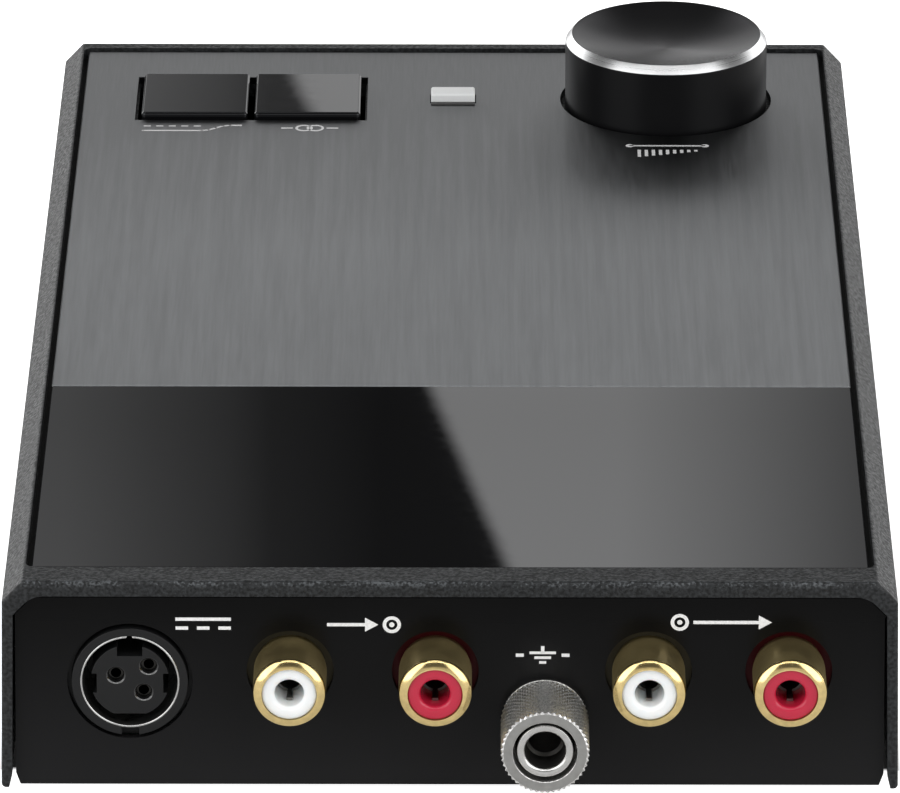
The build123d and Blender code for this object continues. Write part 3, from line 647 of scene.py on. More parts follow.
@dataclass(frozen=True)
class Ink(Finish):
    """Screen-printed ink, slightly uneven in its cover."""

    tones: Point = (0.86, 1.0)
    tone_span: Point = (0.3, 0.6)
    relief: float = 0.004 * MM
    relief_share: float = 0.4
    grain: float = 0.25 * MM

    def dress(self, tree: FinishTree) -> None:
        """Add the uneven cover and a dry surface.

        Args:
            tree: Nodes of its material.
        """
        cover = tree.noise(self.grain)
        self.vary_tone(tree, tree.remap(cover, self.tone_span))
        self.emboss(tree, cover)


@dataclass(frozen=True)
class FrostedLens(Finish):
    """Clear plastic with a fine frosted skin."""

    tones: Point = (0.92, 1.0)
    relief: float = 0.003 * MM
    grain: float = 0.08 * MM
    clearness: float = 0.25
    glow: float = 0.4
    glow_reach: float = 0.8 * MM

    def dress(self, tree: FinishTree) -> None:
        """Let light through, scatter it, and add the frosting.

        Args:
            tree: Nodes of its material.
        """
        frost = tree.noise(self.grain)
        self.vary_tone(tree, frost)
        tree.set("Transmission Weight", self.clearness)
        tree.set("Subsurface Weight", self.glow)
        tree.set("Subsurface Radius", grey(self.glow_reach))
        tree.set("Subsurface Scale", 1.0)
        self.emboss(tree, frost)


@dataclass(frozen=True)
class PaleFloor(Finish):
    """Plain studio sweep, lifted towards white round the object and shaded under the corners of the case.

    Nothing within half_size of the middle is lifted, and what lies there beyond corner is shaded.
    """

    specular: float = 0.0
    relief: float = 0.02 * MM
    relief_share: float = 0.2
    lift: float = 0.95
    half_size: Point = (51.3 * MM, 72.6 * MM)
    corner: Point = (49.0 * MM, 48.0 * MM)
    corner_fade: Point = (1.2 * MM, 13.0 * MM)
    fade: float = 1.0 * MM
    shaded: float = 0.03
    tooth: float = 2.0 * MM
    tooth_tone: float = 0.99

    def dress(self, tree: FinishTree) -> None:
        """Keep it almost even, with a faint paper tooth, and add the lift and the shade.

        Args:
            tree: Nodes of its material.
        """
        spot = [tree.math("ABSOLUTE", tree.place(axis)) for axis in "XY"]
        within = [
            tree.remap(offset, (start, start + width))
            for offset, start, width in zip(spot, self.corner, self.corner_fade)
        ]
        reach = tree.math("MAXIMUM", *(tree.math("SUBTRACT", *pair) for pair in zip(spot, self.half_size)))
        under = tree.product(tree.remap(reach, (0.0, self.fade), FALLING), tree.product(*within))
        tooth = tree.noise(self.tooth)
        paper = tree.mix(tooth, self.shade(self.tooth_tone), self.color)
        tree.feed("Base Color", tree.mix(under, paper, self.shade(self.shaded)))
        clear = tree.remap(reach, (0.0, self.fade), (0.0, self.lift))
        tree.set("Emission Color", WHITE)
        tree.feed("Emission Strength", tree.product(tree.seen(), clear))
        self.emboss(tree, tooth)


COVER_COAT = PowderCoat("cover_coat", (0.0135, 0.0145, 0.0154), 0.46, specular=0.27)
BRUSHED = BrushedPlate("brushed_plate", (0.232, 0.239, 0.247), 0.37)
GLOSS_STRIP = Polished("gloss_strip", (0.002, 0.002, 0.0023), 0.014)
TRAY_COAT = SatinSheet("tray_coat", (0.0012, 0.0012, 0.00125), 0.24, specular=0.1)
FOOT_RUBBER = Moulded("foot_rubber", grey(0.02), 0.75, relief=0.02 * MM)
ZINC = Plated("screw_steel", (0.42, 0.42, 0.43), 0.34)
KNOB_BLACK = Turned("knob_black", (0.0035, 0.0035, 0.0039), 0.3, specular=0.16, metallic=0.0)
KNOB_DISH = Turned("knob_dish", (0.074, 0.074, 0.078), 0.22, stretch=0.8)
KNOB_BRIGHT = Turned("knob_bright", (0.66, 0.665, 0.67), 0.3, ring=0.06 * MM)
BUTTON_BLACK = Polished("button_black", (0.004, 0.004, 0.0045), 0.02, relief=0.0001 * MM)
LIGHT_LENS = FrostedLens("light_lens", (0.9, 0.91, 0.91), 0.32)
BOARD = SolderResist("board_green", (0.015, 0.09, 0.045), 0.4)
PART_BLACK = Moulded("part_black", grey(0.022), 0.5)
PART_RED = Moulded("part_red", (0.35, 0.05, 0.03), 0.35)
PART_CAN = Plated("part_can", (0.35, 0.35, 0.38), 0.4)
GILT = Plated("gilt", (0.92, 0.71, 0.32), 0.14)
# The barrel's side: the lip's gilt, rougher and painted darker as shade.
GILT_SIDE_SHADED = Plated("gilt_side", (0.5, 0.4, 0.19), 0.42, relief=0.0002 * MM, spot=4.0 * MM, stretch=0.3)
# The jack bodies seen through the panel's holes: white and red plastic painted nearly black as shade, the
# white one with a gold tint of painted reflection from the barrel.
JACK_BODY_PAINTED_SHADE_WHITE = Moulded("jack_shade_white", (0.045, 0.04, 0.026), 0.35, specular=0.1)
JACK_BODY_PAINTED_SHADE_RED = Moulded("jack_shade_red", (0.045, 0.002, 0.004), 0.35, specular=0.1)
# Tinned metal painted nearly black as shade, for the inlet's contacts and the inside of the thumb nut.
PIN_PAINTED_SHADE = Plated("pin_dark", (0.035, 0.034, 0.032), 0.22)
GLUE_BLACK = Moulded("glue_black", grey(0.003), 0.7, specular=0.2)
WHITE_INSULATOR = Moulded(
    "insulator_white", (0.92, 0.93, 0.92), 0.15, relief=0.002 * MM, glow=0.5, glow_depth=2.5
)
RED_INSULATOR = Moulded("insulator_red", (0.5, 0.016, 0.048), 0.13, relief=0.002 * MM, glow=0.08)
INLET_MOUTH = Moulded("inlet_mouth", grey(0.006), 0.1, relief=0.002 * MM, specular=1.0)
INLET_BLACK = Moulded("inlet_black", (0.006, 0.0062, 0.0066), 0.45, relief=0.012 * MM, specular=0.3)
SHIELD_TIN = Plated("shield_tin", (0.6, 0.6, 0.59), 0.3)
CONTACT_TIN = Plated("contact_tin", (0.62, 0.6, 0.55), 0.28)
CONTACT_DULL = Plated("contact_dull", (0.3, 0.29, 0.27), 0.4)
KNURL = Plated("knurl_nickel", (0.95, 0.945, 0.925), 0.36, tones=(1.0, 0.4), spot=0.25 * MM)
# The thumb nut's flat faces: the knurl's nickel painted much darker as shade.
NUT_FACE_SHADED = Plated("nut_face", (0.4, 0.397, 0.385), 0.36, tones=(1.0, 0.86))
NICKEL = Plated("post_nickel", (0.66, 0.655, 0.64), 0.22, tones=(1.0, 0.86))
# The post's nickel inside its bore, painted darker as shade.
BORE_PAINTED_SHADE = Plated("bore_dark", (0.2, 0.195, 0.185), 0.4)
LEGEND_WHITE = Ink("legend_white", grey(0.86), 0.6)
LEGEND_GREY = Ink("legend_grey", grey(0.6), 0.6)
FLOOR = PaleFloor("pale_floor", grey(0.76), 0.9)


# ---- Mesh tools ----
# Distances: within HAIR a face's middle lies on a surface, and closer than the others points are merged.
HAIR = 0.01 * MM
CAD_WELD = 0.001 * MM
WELD = 0.0001 * MM
SLIVER = 0.00001 * MM
# Angles: below FLAT_ANGLE a copied node's faces are one, and above EDGE_ANGLE an edge is rounded.
FLAT_ANGLE = math.radians(0.5)
EDGE_ANGLE = math.radians(38.0)
EDGE_SEGMENTS = 2
CAD_SMOOTH = 50.0
EVEN_WEIGHT = 100
LEANING = (0.5, 0.9)


def rear_axis(node: str) -> Matrix:
    """Return the placing that turns +Z to the rear, on the axis of a turned node.

    Args:
        node: The node.

    Returns:
        The placing, with its origin at Y = 0.
    """
    middle = box_center(node)
    turn = Vector(REARWARD).to_track_quat("Z", "Y").to_matrix().to_4x4()
    return Matrix.Translation((middle.x, 0.0, middle.z)) @ turn


def publish(
    name: str,
    mesh: bmesh.types.BMesh,
    finishes: Sequence[Finish],
    body: str,
    replaces: Sequence[str] = (),
    smooth_angle: float = 35.0,
    edge: float = 0.0,
) -> bpy.types.Object:
    """Turn a finished mesh into a piece of the object.

    Args:
        name: Name of the piece.
        mesh: Its mesh, in place, which is freed.
        finishes: Its materials in the order of the faces' indices.
        body: The body that carries it.
        replaces: The nodes that it stands for.
        smooth_angle: Edges sharper than this, in degrees, stay sharp.
        edge: Width that its sharp edges are rounded by.

    Returns:
        The new object.
    """
    data = bpy.data.meshes.new(name)
    mesh.to_mesh(data)
    mesh.free()
    for finish in finishes:
        data.materials.append(finish.material())
    data.shade_smooth()
    data.set_sharp_from_angle(angle=math.radians(smooth_angle))
    piece = bpy.data.objects.new(name, data)
    bpy.context.scene.collection.objects.link(piece)
    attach(piece, body)
    if replaces:
        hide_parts(*replaces)
    if edge:
        bevel = piece.modifiers.new("soft_edges", "BEVEL")
        bevel.width = edge
        bevel.segments = EDGE_SEGMENTS
        bevel.limit_method = "ANGLE"
        bevel.angle_limit = EDGE_ANGLE
    even = piece.modifiers.new("even_shading", "WEIGHTED_NORMAL")
    even.keep_sharp = True
    even.weight = EVEN_WEIGHT
    log.info("%s: %d faces on %s", name, len(data.polygons), body)
    return piece


@dataclass(frozen=True)
class Corner:
    """A point of a turned outline: place along the axis, radius, and rounding."""

    along: float
    radius: float
    round: float = 0.0
    segments: int = 4


def lathe(
    corners: Sequence[Corner],
    placing: Matrix,
    steps: int = 96,
    closed: bool = True,
    sweep: float = math.tau,
    start: float = 0.0,
) -> bmesh.types.BMesh:
    """Turn an outline about an axis.

    Args:
        corners: The outline's points.
        placing: Matrix that carries the Z axis to the real one.
        steps: Steps of a full turn.
        closed: Whether the outline returns to its first point.
        sweep: Angle that it is turned through.
        start: Angle that it starts from.

    Returns:
        A closed mesh with its faces outwards.
    """
    mesh = bmesh.new()
    points = [mesh.verts.new((corner.radius, 0.0, corner.along)) for corner in corners]
    ends = points[1:] + points[:1] if closed else points[1:]
    for pair in zip(points, ends):
        mesh.edges.new(pair)
    for point, corner in zip(points, corners):
        if corner.round:
            bmesh.ops.bevel(
                mesh,
                geom=[point],
                offset=corner.round,
                offset_type="OFFSET",
                segments=corner.segments,
                profile=0.5,
                affect="VERTICES",
                material=-1,
            )
    if start:
        bmesh.ops.rotate(mesh, cent=(0, 0, 0), matrix=Matrix.Rotation(start, 3, "Z"), verts=mesh.verts)
    whole = sweep == math.tau
    bmesh.ops.spin(
        mesh,
        geom=mesh.verts[:] + mesh.edges[:],
        cent=(0, 0, 0),
        axis=UP,
        dvec=(0, 0, 0),
        angle=sweep,
        steps=max(3, round(steps * sweep / math.tau)),
        use_merge=whole,
        use_duplicate=False,
    )
    bmesh.ops.remove_doubles(mesh, verts=mesh.verts, dist=WELD)
    bmesh.ops.dissolve_degenerate(mesh, dist=SLIVER, edges=mesh.edges)
    if not whole:
        rims = [edge for edge in mesh.edges if edge.is_boundary]
        bmesh.ops.holes_fill(mesh, edges=rims, sides=0)
    bmesh.ops.transform(mesh, matrix=placing, verts=mesh.verts)
    bmesh.ops.recalc_face_normals(mesh, faces=mesh.faces)
    return mesh


def softened(
    node: str, name: str, width: float, finish: Finish, slope: Finish | None = None
) -> bpy.types.Object:
    """Copy a node's mesh, merge it and round its edges slightly.

    Args:
        node: The node, which the copy replaces.
        name: Name of the piece.
        width: Width of the rounding.
        finish: Its finish.
        slope: Another finish for the faces that lean halfway towards the rear.

    Returns:
        The new object.
    """
    source = frame["nodes"][node]
    mesh = bmesh.new()
    mesh.from_mesh(source.data)
    bmesh.ops.remove_doubles(mesh, verts=mesh.verts, dist=CAD_WELD)
    bmesh.ops.dissolve_limit(
        mesh, angle_limit=FLAT_ANGLE, use_dissolve_boundaries=False, verts=mesh.verts, edges=mesh.edges
    )
    bmesh.ops.recalc_face_normals(mesh, faces=mesh.faces)
    finishes = [finish]
    if slope is not None:
        finishes.append(slope)
        for face in mesh.faces:
            face.material_index = int(LEANING[0] < face.normal.y < LEANING[1])
    return publish(name, mesh, finishes, source["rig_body"], [node], CAD_SMOOTH, width)


def dress(nodes: Iterable[str], finish: Finish) -> None:
    """Give some carried-over nodes a finish.

    Args:
        nodes: Names of the nodes.
        finish: Their finish.
    """
    for node in nodes:
        data = frame["nodes"][node].data
        data.materials.clear()
        data.materials.append(finish.material())
        log.info("%s: dressed in %s", node, finish.name)


@dataclass
class Stencil:
    """Draws flat marks on a plane, in millimetres from its middle."""

    plane: Matrix
    thickness: float = 0.03 * MM
    mesh: bmesh.types.BMesh = field(default_factory=bmesh.new)

    def place(self, x: float, y: float, angle: float = 0.0) -> Matrix:
        """Return the matrix of a spot on the plane."""
        spot = Matrix.Translation((x * MM, y * MM, 0.0))
        return self.plane @ spot @ Matrix.Rotation(angle, 4, "Z")

    def bar(self, x: float, y: float, width: float, height: float, angle: float = 0.0) -> None:
        """Draw a filled rectangle about its middle."""
        place = self.place(x, y, angle) @ Matrix.Diagonal((width * MM, height * MM, 1.0, 1.0))
        bmesh.ops.create_grid(self.mesh, x_segments=1, y_segments=1, size=0.5, matrix=place)

    def line(self, start: Point, end: Point, width: float) -> None:
        """Draw a stroke with square ends between two points.

        Args:
            start: The first point.
            end: The second point.
            width: Width of the stroke.
        """
        run, rise = end[0] - start[0], end[1] - start[1]
        middle = ((start[0] + end[0]) / 2, (start[1] + end[1]) / 2)
        self.bar(*middle, math.hypot(run, rise), width, math.atan2(rise, run))

    def disc(self, x: float, y: float, radius: float, sides: int, angle: float = 0.0) -> None:
        """Draw a filled disc, or a triangle with three sides."""
        place = self.place(x, y, angle)
        bmesh.ops.create_circle(self.mesh, cap_ends=True, radius=radius * MM, segments=sides, matrix=place)

    def ring(self, x: float, y: float, radius: float, width: float, sides: int = 36) -> None:
        """Draw a ring.

        Args:
            x: Its middle, to the right.
            y: Its middle, upwards.
            radius: Its outer radius.
            width: Width of its stroke.
            sides: Number of its sides.
        """
        before = set(self.mesh.faces)
        self.disc(x, y, radius, sides)
        faces = [face for face in self.mesh.faces if face not in before]
        rules = {"use_boundary": True, "use_even_offset": True}
        bmesh.ops.inset_region(self.mesh, faces=faces, thickness=width * MM, **rules)
        bmesh.ops.delete(self.mesh, geom=faces, context="FACES")

    def arrow(self, x: float, y: float, length: float, size: float, width: float) -> None:
        """Draw an arrow to the right, with its tip at a point."""
        self.disc(x - size / 1.5, y, size / 1.5, 3, -math.pi / 2)
        self.bar(x - (length + size) / 2, y, length - size, width)

    def finish(self, name: str, ink: Finish, slot: str) -> None:
        """Give the marks their thickness and publish them.

        Args:
            name: Name of the piece.
            ink: Its finish.
            slot: Not used.
        """
        raised = bmesh.ops.extrude_face_region(self.mesh, geom=self.mesh.faces[:])
        tops = [item for item in raised["geom"] if isinstance(item, bmesh.types.BMVert)]
        lift = self.plane.to_3x3() @ Vector((0.0, 0.0, self.thickness))
        bmesh.ops.translate(self.mesh, verts=tops, vec=lift)
        bmesh.ops.recalc_face_normals(self.mesh, faces=self.mesh.faces)
        publish(name, self.mesh, [ink], "case")


# ---- Case and what is in it ----
@dataclass
class Case:
    """Cover, tray, feet and the screws underneath."""

    def build(self) -> None:
        """Dress the shells, the feet and the screws."""
        dress(["cover"], COVER_COAT)
        dress(["base_tray"], TRAY_COAT)
        dress([f"foot_{end}_{side}" for end in ("front", "rear") for side in ("left", "right")], FOOT_RUBBER)
        dress(["case_screws"], ZINC)


@dataclass
class Interior:
    """The board and what stands on it."""

    def build(self) -> None:
        """Dress the hidden parts."""
        dress(["circuit_board"], BOARD)
        dress(["board_standoffs", "board_screws"], ZINC)
        dress(["amplifier_chips"], PART_BLACK)
        dress(["film_capacitors"], PART_RED)
        dress(["supply_capacitors"], PART_CAN)


# ---- Inlays and controls ----
@dataclass
class Inlays:
    """The two plates in the pocket on top, and the black glue line round them."""

    line: float = 0.6
    line_height: float = 0.05 * MM

    def build(self) -> None:
        """Dress both plates and lay the line."""
        dress(["brushed_plate"], BRUSHED)
        dress(["gloss_strip"], GLOSS_STRIP)
        low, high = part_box("brushed_plate")
        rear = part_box("gloss_strip")[1].y
        middle = Vector(((low.x + high.x) / 2, (low.y + rear) / 2, low.z))
        wide, deep = (high.x - low.x) / MM, (rear - low.y) / MM
        glue = Stencil(Matrix.Translation(middle), self.line_height)
        for side in (-1, 1):
            glue.bar(side * (wide + self.line) / 2, 0.0, self.line, deep)
            glue.bar(0.0, side * (deep + self.line) / 2, wide, self.line)
        glue.finish("inlay_glue_line", GLUE_BLACK, "button_black")


@dataclass
class LevelKnob:
    """Turned knob with a dished crown and a bright bevel."""

    bevel_width: float = 0.85 * MM
    bevel_height: float = 1.05 * MM
    dish_depth: float = 2.1 * MM
    crown: float = 1.5 * MM
    skirt: float = 2.0 * MM
    rim_round: float = 0.06 * MM
    shoulder_round: float = 0.12 * MM
    foot_round: float = 0.2 * MM
    bevel_slope: float = 0.1
    steps: int = 192
    dish_rings: int = 28

    def outline(self, radius: float, bottom: float, top: float) -> list[Corner]:
        """Return the outline from the middle of the dish round to the underside.

        Args:
            radius: Outer radius.
            bottom: Height of the lower edge.
            top: Height of the rim.

        Returns:
            The corners in order.
        """
        rim = radius - self.bevel_width
        curve = (rim**2 + self.dish_depth**2) / (2 * self.dish_depth)
        low = top - self.dish_depth
        hollow = low - self.crown
        reaches = [rim * step / self.dish_rings for step in range(self.dish_rings)]
        return [
            *(Corner(low + curve - math.sqrt(curve**2 - reach**2), reach) for reach in reaches),
            Corner(top, rim, self.rim_round, 3),
            Corner(top - self.bevel_height, radius, self.shoulder_round, 3),
            Corner(bottom, radius, self.foot_round, 2),
            Corner(bottom, radius - self.skirt),
            Corner(hollow, radius - self.skirt),
            Corner(hollow, 0.0),
        ]

    def build(self) -> None:
        """Turn the knob, mark its dish, bevel and side, and dress what holds it."""
        low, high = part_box("level_knob")
        center = box_center("level_knob")
        radius = radius_of("level_knob")
        placing = Matrix.Translation((center.x, center.y, 0.0))
        mesh = lathe(self.outline(radius, low.z, high.z), placing, self.steps, closed=False)
        bevel_foot = high.z - self.bevel_height
        for face in mesh.faces:
            spot = face.calc_center_median()
            reach = math.hypot(spot.x - center.x, spot.y - center.y)
            if reach < radius - self.bevel_width and spot.z > bevel_foot - self.dish_depth:
                face.material_index = 1
            elif spot.z > bevel_foot and face.normal.z > self.bevel_slope:
                face.material_index = 2
        finishes = [KNOB_BLACK, KNOB_DISH, KNOB_BRIGHT]
        publish("level_knob_cap", mesh, finishes, "level_knob", ["level_knob"])
        dress(["knob_insert", "pot_bush"], CONTACT_TIN)
        dress(["pot_shaft", "pot_washer", "pot_nut"], ZINC)
        dress(["pot_body"], PART_BLACK)


@dataclass
class Buttons:
    """Two square push buttons with their switches."""

    names: tuple[str, ...] = ("mono", "subsonic")
    edge: float = 0.05 * MM

    def build(self) -> None:
        """Dress both buttons and what is under them."""
        for name in self.names:
            softened(f"{name}_button", f"{name}_button_cap", self.edge, BUTTON_BLACK)
            dress([f"{name}_plunger", f"{name}_switch"], PART_BLACK)
            self.coil(name)

    def coil(self, name: str) -> None:
        """Copy a button's spring, and give the copy a mesh of its own.

        Args:
            name: Name of the button.
        """
        spring = softened(f"{name}_spring", f"{name}_coil", 0.0, ZINC)
        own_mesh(spring)


@dataclass
class StatusLight:
    """Small frosted bar that stands out of the plate, with thin black strips along its near and far sides as
    a painted shadow.
    """

    edge: float = 0.1 * MM
    clear: float = 0.1 * MM
    painted_shadow_width: float = 0.9
    painted_shadow_height: float = 0.12 * MM

    def build(self) -> None:
        """Dress the bar and the lamp under it, and lay black strips of painted shadow along what shows of the
        bar.
        """
        softened("status_light", "status_bar", self.edge, LIGHT_LENS)
        dress(["status_led"], LIGHT_LENS)
        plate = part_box("brushed_plate")[1].z
        vertices = frame["nodes"]["status_light"].data.vertices
        spots = [vertex.co for vertex in vertices if vertex.co.z > plate + self.clear]
        reaches = ([spot[axis] for spot in spots] for axis in range(2))
        wide, deep = ((max(reach) - min(reach)) / MM for reach in reaches)
        middle = box_center("status_light")
        # Painted shadow: thin black strips on the plate along the bar's near and far sides.
        painted_shadow = Stencil(Matrix.Translation((middle.x, middle.y, plate)), self.painted_shadow_height)
        for side in (-1, 1):
            painted_shadow.bar(0.0, side * (deep + self.painted_shadow_width) / 2, wide, self.painted_shadow_width)
        painted_shadow.finish("status_seat", PART_BLACK, "button_black")


# ---- Jack panel ----
class Channel(Enum):
    """The two channels, by the finishes of their insulators and of the moulded body behind the panel, painted
    dark as shade.
    """

    LEFT = (WHITE_INSULATOR, JACK_BODY_PAINTED_SHADE_WHITE)
    RIGHT = (RED_INSULATOR, JACK_BODY_PAINTED_SHADE_RED)


@dataclass
class PhonoJack:
    """One phono jack: gilt barrel, coloured insulator and split contact."""

    name: str
    channel: Channel
    lip: float = 0.78 * MM
    dome: float = 0.5 * MM
    lip_round: float = 0.4 * MM
    edge_round: float = 0.25 * MM
    throat_round: float = 0.06 * MM
    root: float = 3.95 * MM
    face_round: float = 0.2 * MM
    mouth_round: float = 0.5 * MM
    contact_play: float = 0.02 * MM
    contact_recess: float = 2.0 * MM
    contact_wall: float = 0.3 * MM
    slot: float = 0.55 * MM
    slot_length: float = 3.5 * MM
    tongue: float = 0.75 * MM
    tongue_length: float = 2.6 * MM
    contact_steps: int = 48
    side_slope: float = 0.05

    def build(self) -> None:
        """Turn the barrel, the insulator and the contact, and dress the body."""
        placing = rear_axis(f"{self.name}_barrel")
        core = radius_of(f"{self.name}_insulator")
        contact = radius_of(f"{self.name}_contact")
        self.turn_barrel(placing, core)
        self.turn_insulator(placing, core, contact + self.contact_play)
        self.turn_contact(placing, contact)
        # The body is dressed in its channel's painted shade.
        dress([f"{self.name}_body"], self.channel.value[1])

    def turn_barrel(self, placing: Matrix, bore: float) -> None:
        """Turn the barrel with its rounded lip.

        Args:
            placing: Matrix that carries the Z axis to the jack's.
            bore: Inner radius.
        """
        node = f"{self.name}_barrel"
        radius, panel = radius_of(node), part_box("base_tray")[1].y
        foot, tip = (corner.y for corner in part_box(node))
        corners = [
            Corner(foot, bore),
            Corner(foot, self.root),
            Corner(panel, self.root),
            Corner(panel, radius),
            Corner(tip - self.dome, radius, self.edge_round, 6),
            Corner(tip, radius - self.lip, self.lip_round, 8),
            Corner(tip, bore, self.throat_round, 2),
        ]
        mesh = lathe(corners, placing)
        # Faces along the side take the gilt painted darker as shade.
        for face in mesh.faces:
            face.material_index = int(abs(face.normal.y) < self.side_slope)
        publish(f"{self.name}_shell", mesh, [GILT, GILT_SIDE_SHADED], "case", [node])

    def turn_insulator(self, placing: Matrix, radius: float, bore: float) -> None:
        """Turn the insulator with a rounded mouth.

        Args:
            placing: Matrix that carries the Z axis to the jack's.
            radius: Outer radius.
            bore: Inner radius.
        """
        node = f"{self.name}_insulator"
        foot, face = (corner.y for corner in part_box(node))
        corners = [
            Corner(foot, bore),
            Corner(foot, radius),
            Corner(face, radius, self.face_round, 3),
            Corner(face, bore, self.mouth_round, 8),
        ]
        finish = self.channel.value[0]
        publish(f"{self.name}_core", lathe(corners, placing), [finish], "case", [node])

    def turn_contact(self, placing: Matrix, radius: float) -> None:
        """Turn the contact as a ring, two leaves with a slot between them, and a tongue below.

        Args:
            placing: Matrix that carries the Z axis to the jack's.
            radius: Outer radius.
        """
        node = f"{self.name}_contact"
        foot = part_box(node)[0].y
        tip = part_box(f"{self.name}_insulator")[1].y - self.contact_recess
        inner = radius - self.contact_wall
        mouth = tip - self.tongue_length
        split = mouth - self.slot_length
        gap, width = self.slot / radius, self.tongue / radius
        spans = [(foot, split, math.tau, 0.0)]
        spans += [(split, mouth, math.pi - gap, gap / 2 + math.pi * side) for side in range(2)]
        spans += [(mouth, tip, width, -(math.pi + width) / 2)]
        mesh = bmesh.new()
        for back, front, sweep, start in spans:
            outline = [Corner(back, inner), Corner(back, radius), Corner(front, radius), Corner(front, inner)]
            part = lathe(outline, placing, self.contact_steps, sweep=sweep, start=start)
            scrap = bpy.data.meshes.new("span")
            part.to_mesh(scrap)
            part.free()
            mesh.from_mesh(scrap)
            bpy.data.meshes.remove(scrap)
        publish(f"{self.name}_leaves", mesh, [CONTACT_DULL], "case", [node])


@dataclass
class PowerInlet:
    """Round power socket with a keyed core and a split shield."""

    nose_edge: float = 0.18 * MM
    core_edge: float = 0.06 * MM
    shield_edge: float = 0.09 * MM

    def build(self) -> None:
        """Soften the mouldings and dress the metal."""
        softened("inlet_housing", "inlet_nose", self.nose_edge, INLET_BLACK)
        softened("inlet_core", "inlet_keyed_core", self.core_edge, INLET_BLACK, INLET_MOUTH)
        softened("inlet_shield", "inlet_split_shield", self.shield_edge, SHIELD_TIN)
        # The contacts are painted dark as shade in their holes.
        dress(["inlet_contacts"], PIN_PAINTED_SHADE)


